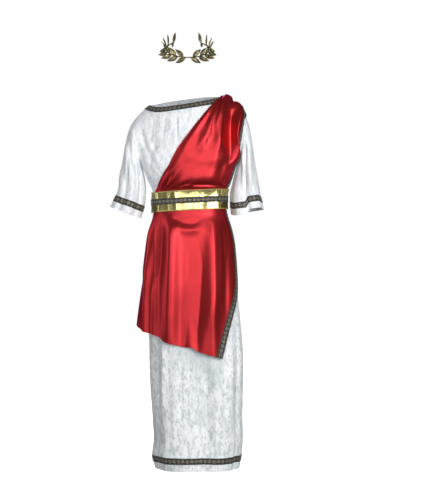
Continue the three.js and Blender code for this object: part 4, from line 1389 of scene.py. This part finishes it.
def stem_at(turn):
    return Vector((
        WREATH["x"] + WREATH["halfWidth"] * math.sin(turn),
        WREATH["y"] + WREATH["halfDepth"] * math.cos(turn),
        WREATH["z"] - WREATH["rise"] * math.cos(turn) * 0.5,
    ))


def leaf_points():
    """One laurel leaf along X, cupped, with a pressed midrib, a short stalk and a tip that curls back."""
    shares = np.concatenate([[-0.1, -0.03], np.linspace(0.02, 1, 19)])
    side, share = np.meshgrid(np.linspace(-1, 1, 11), shares)
    inside = np.clip(share, 0, 1)
    half = LEAF["halfWidth"] * np.maximum(np.sin(np.pi * inside**0.8), 0) ** 0.9
    half = np.maximum(half * (1 + 0.05 * np.sin(share * 31)), np.where(share < 0.1, 1.3, 0.35))
    lift = LEAF["cup"] * (side**2 - 4 * inside * (1 - inside))
    rib = -1.0 * np.exp(-((side / 0.16) ** 2)) * np.sin(np.pi * inside)
    veins = 0.25 * np.sin(share * 44 - np.abs(side) * 5) * np.sin(np.pi * inside) * (1 - side**2)
    curl = 17.6 * np.maximum(share - 0.75, 0) ** 2
    return np.stack([share * LEAF["length"], side * half, lift + rib + veins - curl], axis=-1)


class COSTUME_OT_wreath(bpy.types.Operator):
    """Makes the wreath: a twisted stem and its leaves."""

    bl_idname = "costume.wreath"
    bl_label = "Wreath"

    def execute(self, context):
        self.make_stem()
        self.make_leaves(context.scene.costume_sizes)
        return {"FINISHED"}

    def make_stem(self):
        end = math.pi - WREATH["open"]
        turns, sides = np.linspace(-end, end, 280), np.linspace(0, TURN, 19)
        points = np.zeros((len(turns), len(sides), 3))
        for row, turn in enumerate(turns):
            along = (stem_at(turn + 0.01) - stem_at(turn - 0.01)).normalized()
            out = along.cross(UP).normalized()
            up = out.cross(along)
            taper = min(1.0, 0.35 + 12 * (1 - abs(turn) / end))
            for column, angle in enumerate(sides[::-1]):
                radius = STEM_RADIUS * taper * (0.88 + 0.16 * abs(math.cos(1.5 * angle - 34 * turn)))
                lift, reach = up * radius * math.cos(angle), out * radius * math.sin(angle)
                points[row, column] = stem_at(turn) + lift + reach
        points[:, -1] = points[:, 0]
        stem = sheet_of("gilt_stem", points)
        join_ends(1e-6, capped=True)
        bpy.ops.object.shade_smooth_by_angle(angle=math.radians(GILT_SMOOTH))
        dress(stem, "wreath_stem", antique_gilt())

    def make_leaves(self, sizes):
        points = leaf_points().transpose(1, 0, 2)[::-1]
        uv = np.stack(np.meshgrid(*(np.linspace(0, 1, count) for count in points.shape[1::-1])), axis=-1)
        pattern = woven("leaf_pattern", points, uv, sizes.leaf / MM, smooth=GILT_SMOOTH)
        ends = math.pi - WREATH["open"] - LEAFLESS_END
        for station, turn in enumerate(np.linspace(-ends, ends, LEAF_STATIONS)):
            way = math.copysign(1.0, turn)
            forward = (stem_at(turn + 0.02 * way) - stem_at(turn)).normalized()
            out = Vector((math.sin(turn), math.cos(turn), 0))
            for row, lift, spread in (("upper", 1, 0.5), ("lower", -0.55, 0.75)):
                along = (forward + UP * lift + out * spread).normalized()
                foot = stem_at(turn) + UP * math.copysign(LEAF_CLEARANCE, lift) + forward * lift * 4
                across = along.cross(out).normalized()
                place = Matrix.Identity(4)
                for i, column in enumerate((along, -across, across.cross(along), foot * MM)):
                    place.col[i][:3] = column
                leaf = pattern.copy()
                leaf.data = pattern.data.copy()
                leaf.name = leaf.data.name = f"gilt_leaf_{row}_{station + 1}"
                bpy.context.collection.objects.link(leaf)
                leaf.data.transform(place)
                dress(leaf, f"wreath_leaf_{row}_{station + 1}", antique_gilt())
        bpy.data.objects.remove(pattern, do_unlink=True)


class COSTUME_OT_cuts(bpy.types.Operator):
    """A step for the flat cut of every cloth, which does nothing."""

    bl_idname = "costume.cuts"
    bl_label = "Cloth cuts"

    def execute(self, context):
        return {"FINISHED"}


class COSTUME_OT_stage(bpy.types.Operator):
    """Sets the floor, the lights, the sky and the camera."""

    bl_idname = "costume.stage"
    bl_label = "Stage"

    def execute(self, context):
        scene = context.scene
        bpy.ops.object.select_all(action="DESELECT")
        bpy.ops.mesh.primitive_plane_add(size=FLOOR_SIZE, location=(0, 0, FLOOR))
        floor = context.object
        floor.name = "floor"
        floor.data.materials.append(pale_floor())
        floor.visible_diffuse = floor.visible_glossy = False
        for name, at, size, power in LIGHTS:
            way = Vector(LIT_PLACE) - Vector(at)
            turned = way.to_track_quat("-Z", "Y").to_euler()
            bpy.ops.object.light_add(type="AREA", location=at, rotation=turned)
            light = context.object
            light.name = name
            light.data.shape = "RECTANGLE"
            light.data.size, light.data.size_y = size
            light.data.energy = power
        bpy.ops.object.camera_add(location=CAMERA_AT, rotation=(math.pi / 2, 0, 0))
        camera = context.object
        camera.name = "photo_camera"
        camera.data.sensor_width = CAMERA_SENSOR
        camera.data.lens = CAMERA_LENS
        camera.data.clip_end = CAMERA_REACH
        scene.camera = camera
        scene.view_settings.view_transform = "Standard"
        scene.world = self.sky()
        return {"FINISHED"}

    def sky(self):
        """A sky that looks white and lights softly."""
        r = Recipe(bpy.data.worlds.new("studio"))
        seen = r.add("ShaderNodeLightPath", output="Is Camera Ray")
        glow = r.add("ShaderNodeBackground", {"Color": (0.95, 0.97, 1.0, 1.0), "Strength": SKY_GLOW})
        white = r.add("ShaderNodeBackground", {"Color": (1, 1, 1, 1), "Strength": 1.0})
        both = r.add("ShaderNodeMixShader", {0: seen, 1: glow, 2: white})
        r.add("ShaderNodeOutputWorld", {"Surface": both})
        return r.owner


STEPS = (
    COSTUME_OT_robe, COSTUME_OT_sleeves, COSTUME_OT_drape, COSTUME_OT_apron, COSTUME_OT_braids,
    COSTUME_OT_belt, COSTUME_OT_wreath, COSTUME_OT_cuts, COSTUME_OT_stage,
)


class COSTUME_PT_panel(bpy.types.Panel):
    """Lists the costume's pieces, sizes and colours."""

    bl_idname = "COSTUME_PT_panel"
    bl_label = "Greek god costume"
    bl_space_type = "VIEW_3D"
    bl_region_type = "UI"
    bl_category = "Costume"

    def draw(self, context):
        layout = self.layout
        for step in STEPS:
            layout.operator(step.bl_idname)
        for group in (context.scene.costume_sizes, context.scene.costume_colours):
            for name in group.bl_rna.properties.keys():
                if name not in ("rna_type", "name"):
                    layout.prop(group, name)


CLASSES = (CostumeSizes, CostumeColours, *STEPS, COSTUME_PT_panel)


def register():
    for each in CLASSES:
        bpy.utils.register_class(each)
    bpy.types.Scene.costume_sizes = bpy.props.PointerProperty(type=CostumeSizes)
    bpy.types.Scene.costume_colours = bpy.props.PointerProperty(type=CostumeColours)


def unregister():
    del bpy.types.Scene.costume_colours
    del bpy.types.Scene.costume_sizes
    for each in reversed(CLASSES):
        bpy.utils.unregister_class(each)


def main():
    register()
    for step in STEPS:
        getattr(bpy.ops.costume, step.bl_idname.split(".")[1])()


if __name__ == "__main__":
    main()
